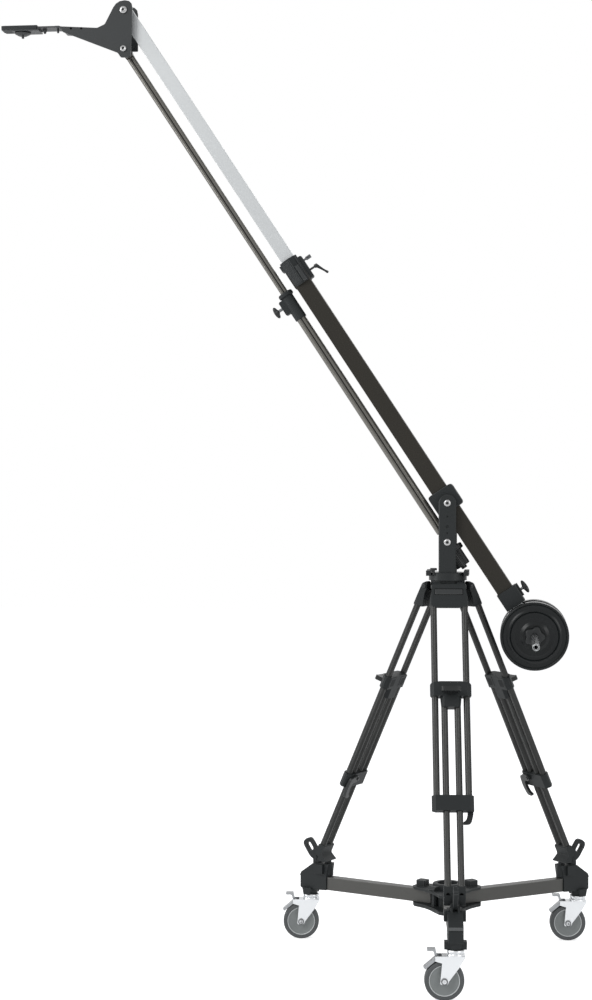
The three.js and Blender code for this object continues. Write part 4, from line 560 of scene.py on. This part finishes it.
piece("collar_pads", joined(*pads), "front_collar", insert_coat)


knurl_depth, knurl_count = 0.3, 24


def knurled(radius, angle):
    """A grip with sharp flutes round its head, and a plain shank."""
    return radius + knurl_depth * cos(knurl_count * angle) if radius > 4 else radius


thumb = [(0, 26), (3, 26), (3, 41.4), (4.4, 41.9), (4.9, 42.6), (4.9, 56.4), (4.2, 57.4), (0, 57.4)]
thumb_head = turned(thumb, point(arm_frame, 766, 0, 0), arm_up, 96, knurled)
piece("thumb_screw_head", thumb_head, "thumb_screw", axle_steel)
piece("ratchet_post", packed("ratchet_lever", 0.8, 25), "ratchet_lever", plastic)
bend, tip = point(arm_frame, 735, 0, 55.5), point(arm_frame, 704, 0, 70.8)
grip = [(0, -5), (3.2, -4.2), (4.8, -1.5), (4.9, 2), (3.9, 9), (2.9, 20), (2.6, 28), (3.3, 31.5), (3.4, 34.5),
        (2, 37), (0, 37.4)]
piece("ratchet_grip", turned(grip, bend, tip - bend, 32), "ratchet_lever", plastic)


def wing(place, along, across, span, blade, height, hub):
    """A wing grip: a lens of plastic on a round hub."""
    bm = bmesh.new()
    bmesh.ops.create_uvsphere(bm, u_segments=32, v_segments=16, radius=1)
    bmesh.ops.scale(bm, vec=[length * mm / 2 for length in (span, blade, height)], verts=bm.verts)
    turn = Matrix((across, along.cross(across), along)).transposed().to_4x4()
    middle = place + along * height * mm / 2
    bmesh.ops.transform(bm, matrix=Matrix.Translation(middle) @ turn, verts=bm.verts)
    outline = [(0, -1), (hub * 0.7, -1), (hub, 1), (hub * 0.8, height * 0.8), (0, height * 0.8)]
    return joined(bm, turned(outline, place, along, 32))


rear_reach = -301
rear_wing = wing(point(arm_frame, rear_reach, 0, 43.5), arm_up, arm_turn, span=38, blade=9, height=13, hub=7)
piece("rear_wing", rear_wing, "rear_wing_knob", plastic)
rear_screw = turned([(3.7, 30.5), (3.7, 45)], point(arm_frame, rear_reach, 0, 0), arm_up, 32)
piece("rear_screw", rear_screw, "rear_wing_knob", axle_steel)

# --- Counterweights ----------------------------------------------------------------------------------------
# Black enamelled iron discs with a turned rim and rings, on a chromed hollow bar across the tail of the inner
# tube, each held by a black star collar.
enamel = finish("black enamel", (0.0075, 0.009, 0.0095), 0, 0.26, grain=700, depth=0.0001, worn=0.3, gloss=0.22)
chrome = finish("chrome", (0.62, 0.63, 0.64), 1, 0.2, grain=500, depth=0.00002, tone=0.1)
bar_place = point(arm_frame, -423, 0, 0)


def on_bar(outline, steps=64, shape=None, sides=(-1, 1)):
    """An outline turned about the weight bar, with the same on the far side."""
    return joined(*[turned(outline, bar_place, (0, side, 0), steps, shape) for side in sides])


bar_end = [(5.5, 380), (9.05, 380), (9.05, 405.4), (8.5, 406), (6, 406), (5.5, 405.4), (5.5, 380)]
bar_shank = [(9.05, 19), (9.05, 376), (8, 377)]
bar_groove = [(8.4, 376), (9.15, 376.6), (9.15, 379.6), (8.4, 380.2)]
piece("weight_tail", packed("weight_carrier", 1.2), "weight_carrier", silver)
piece("weight_bar", joined(on_bar(bar_end), on_bar(bar_shank)), "weight_carrier", chrome)
piece("bar_rings", on_bar(bar_groove), "weight_carrier", plastic)

weight_disc = [(9.4, 33), (86, 33), (90.4, 34.6), (91.5, 37.5), (91.5, 64.5), (90.6, 67.6), (88.6, 69),
               (86.4, 69), (84.6, 68), (83, 66.2), (74, 65.8), (71.6, 67.4), (69, 68.8), (67, 69), (65, 68),
               (62.6, 65), (56, 64.4), (54, 65.2), (51, 65.2), (49, 64.2), (40, 64.2), (36, 66.6), (32, 69),
               (9.4, 69), (9.4, 33)]
star = [(9.4, 69.3), (14, 69.3), (15, 70), (15, 74.6), (21.6, 76.2), (24.6, 78.6), (25, 81), (25, 86),
        (24, 88.6), (21.6, 90.1), (12.4, 90.3), (9.4, 88.4), (9.4, 69.3)]


lobe_depth, lobe_count = 3, 5


def lobed(radius, angle):
    """A grip of lobes round a plain hub."""
    return radius + lobe_depth * cos(lobe_count * angle) if radius > 20 else radius


for name, side in (("near", -1), ("far", 1)):
    disc = on_bar(weight_disc, 128, sides=[side])
    piece(f"disc_{name}", disc, f"weight_{name}", enamel, smooth=28)
    star_grip = on_bar(star, 120, lobed, [side])
    piece(f"star_{name}_grip", star_grip, f"star_{name}", plastic)

# --- Levelling rod -----------------------------------------------------------------------------------------
# A thick tube with an eye on the rear bolt, a thinner one with an eye at the camera head sliding in it, and a
# black clamp with a wing screw where they meet. Behind the eye, a knurled nut trims the level of the head.
rod_metal = finish("rod anodising", (0.13, 0.125, 0.112), 0.4, 0.2, grain=900, depth=0.00002,
                   along=(0, tilt, 0))
# A near-black matte finish for strips in the rod grooves: a painted dark reflection.
painted_groove_reflection = finish("painted groove reflection", (0.012, 0.0115, 0.0105), 0.2, 0.5, grain=900, worn=0, gloss=0.15)
rod_place = Vector((0, 0, pivot_height - bolt_spacing))
rod_frame = Matrix.Translation((0, 0, -bolt_spacing)) @ arm_frame


rods = {"outer": (13.56, 30, 799.6), "inner": (11.06, 700, 1582)}  # radius, start and end
groove_depth, groove_sharpness = 2, 24


def grooved(radius, angle):
    """A round tube with a groove along its near and its far side."""
    return radius - groove_depth * cos(angle) ** groove_sharpness


for name, (radius, start, end) in rods.items():
    node = f"rod_{name}"
    outline = [(radius - 1, start), (radius, start + 1), (radius, end - 1), (radius - 1, end)]
    piece(f"{node}_tube", turned(outline, rod_place, arm_turn, 96, grooved), node, rod_metal)
    middle, length = (start + end) / 2, end - start - 6
    # Dark strips in the near and far grooves are a painted dark reflection.
    reflection_strips = [pad(rod_frame, (middle, side * (radius - 1.5), 0), (length, 0.8, 3), 0.15) for side in (-1, 1)]
    piece(f"{node}_strips", joined(*reflection_strips), node, painted_groove_reflection)
    eye = packed(node, 1.2, bare=[(rod_place, arm_turn, radius - 0.06)])
    piece(f"{node}_eye", eye, node, rod_metal)
sleeve = [(13.8, 724.8), (15.4, 724.8), (16.6, 726), (16.6, 795.6), (18.4, 796), (21.1, 798.4), (21.1, 805.4),
          (19.4, 808.1), (11.6, 808.1)]
piece("clamp_sleeve", turned(sleeve, rod_place, arm_turn, 72), "rod_clamp", black_coat)
piece("clamp_block", packed("rod_clamp", 1.2), "rod_clamp", black_coat)
clamp_screw_reach, rod_wing_drop = 0.775, 0.0412
clamp_screw_place = rod_place + arm_turn * clamp_screw_reach
rod_wing_place = clamp_screw_place - arm_up * rod_wing_drop
rod_wing = wing(rod_wing_place, -arm_up, arm_turn, span=34, blade=9, height=13.5, hub=7)
piece("rod_wing", rod_wing, "rod_wing_knob", plastic)
rod_screw = turned([(4, 20), (4, 43)], clamp_screw_place, -arm_up, 32)
piece("rod_screw", rod_screw, "rod_wing_knob", axle_steel)


rib_depth, rib_count = 0.45, 30


def ribbed(radius, angle):
    """A grip with round flutes, and a plain boss."""
    return radius + rib_depth * cos(rib_count * angle) if radius > 18 else radius


trim = [(6.4, 17), (19.4, 17), (25, 17.6), (28, 19.6), (28, 30.4), (26, 32.6), (20.4, 33.4), (19.8, 35),
        (19.8, 74.6), (18.6, 76.6), (17, 77), (8, 77), (8, 83), (7, 84), (0, 84)]
trim_nut = turned(trim, rod_place, -arm_turn, 180, ribbed)
piece("trim_nut", trim_nut, "level_adjuster", plastic, smooth=30)

# --- Camera head -------------------------------------------------------------------------------------------
# Two cheeks cut from plate, with a deck between them that runs out to a tongue under the camera platform, dark
# grey; bright spacers and bolts hold it on the two tubes, and a black screw from below holds the camera.
head_place = Vector((-0.8808, 0, 2.5717))
cheek_face = 41 * mm
cheek_coat = finish("cheek anodising", (0.034, 0.0365, 0.0375), 0.1, 0.4, grain=1600, depth=0.0001, worn=0.16,
                    gloss=0.26)
piece("head_cheeks", packed("head_bracket", 1.1), "head_bracket", cheek_coat)
screw = [(0, 0.9), (1.4, 0.9), (1.6, 1.3), (2.5, 1.2), (3, 0.5), (3, -0.5)]
screws = []
for reach, drop in ((0.146, 0.0465), (0.117, 0.0468)):
    place = head_place + Vector((-reach, -cheek_face, -drop))
    screws.append(turned(screw, place, (0, -1, 0), 24))
piece("cheek_screws", joined(*screws), "head_bracket", gap_shade_and_screw_black)
head_axles = {  # drop below the head, bolt head radius and sides, and each bar's radius, start and end
    "head_axle": (0, 10.1, (-1, 1), [(8, -42, 42), (12, -35.7, -19.4), (12, 19.4, 35.7)]),
    "rod_front_axle": (bolt_spacing, 8.6, (-1,), [(7, -42, 18), (12, -35.7, -14.4), (12, 14.4, 19.4)]),
}
head_bolt_height = 6.35
for node, (drop, radius, sides, bar_sizes) in head_axles.items():
    ends = [(head_place + Vector((0, side * cheek_face, -drop)), (0, side, 0)) for side in sides]
    axle_bolts(node, ends, radius, head_bolt_height)
    bars = [shaft(head_place - Vector((0, 0, drop)), *size) for size in bar_sizes]
    piece(f"{node}_shaft", joined(*bars), node, steel)
piece("platform", packed("camera_plate", 0.8), "camera_plate", black_coat)
piece("camera_knob", packed("camera_screw", 1.0), "camera_screw", plastic)
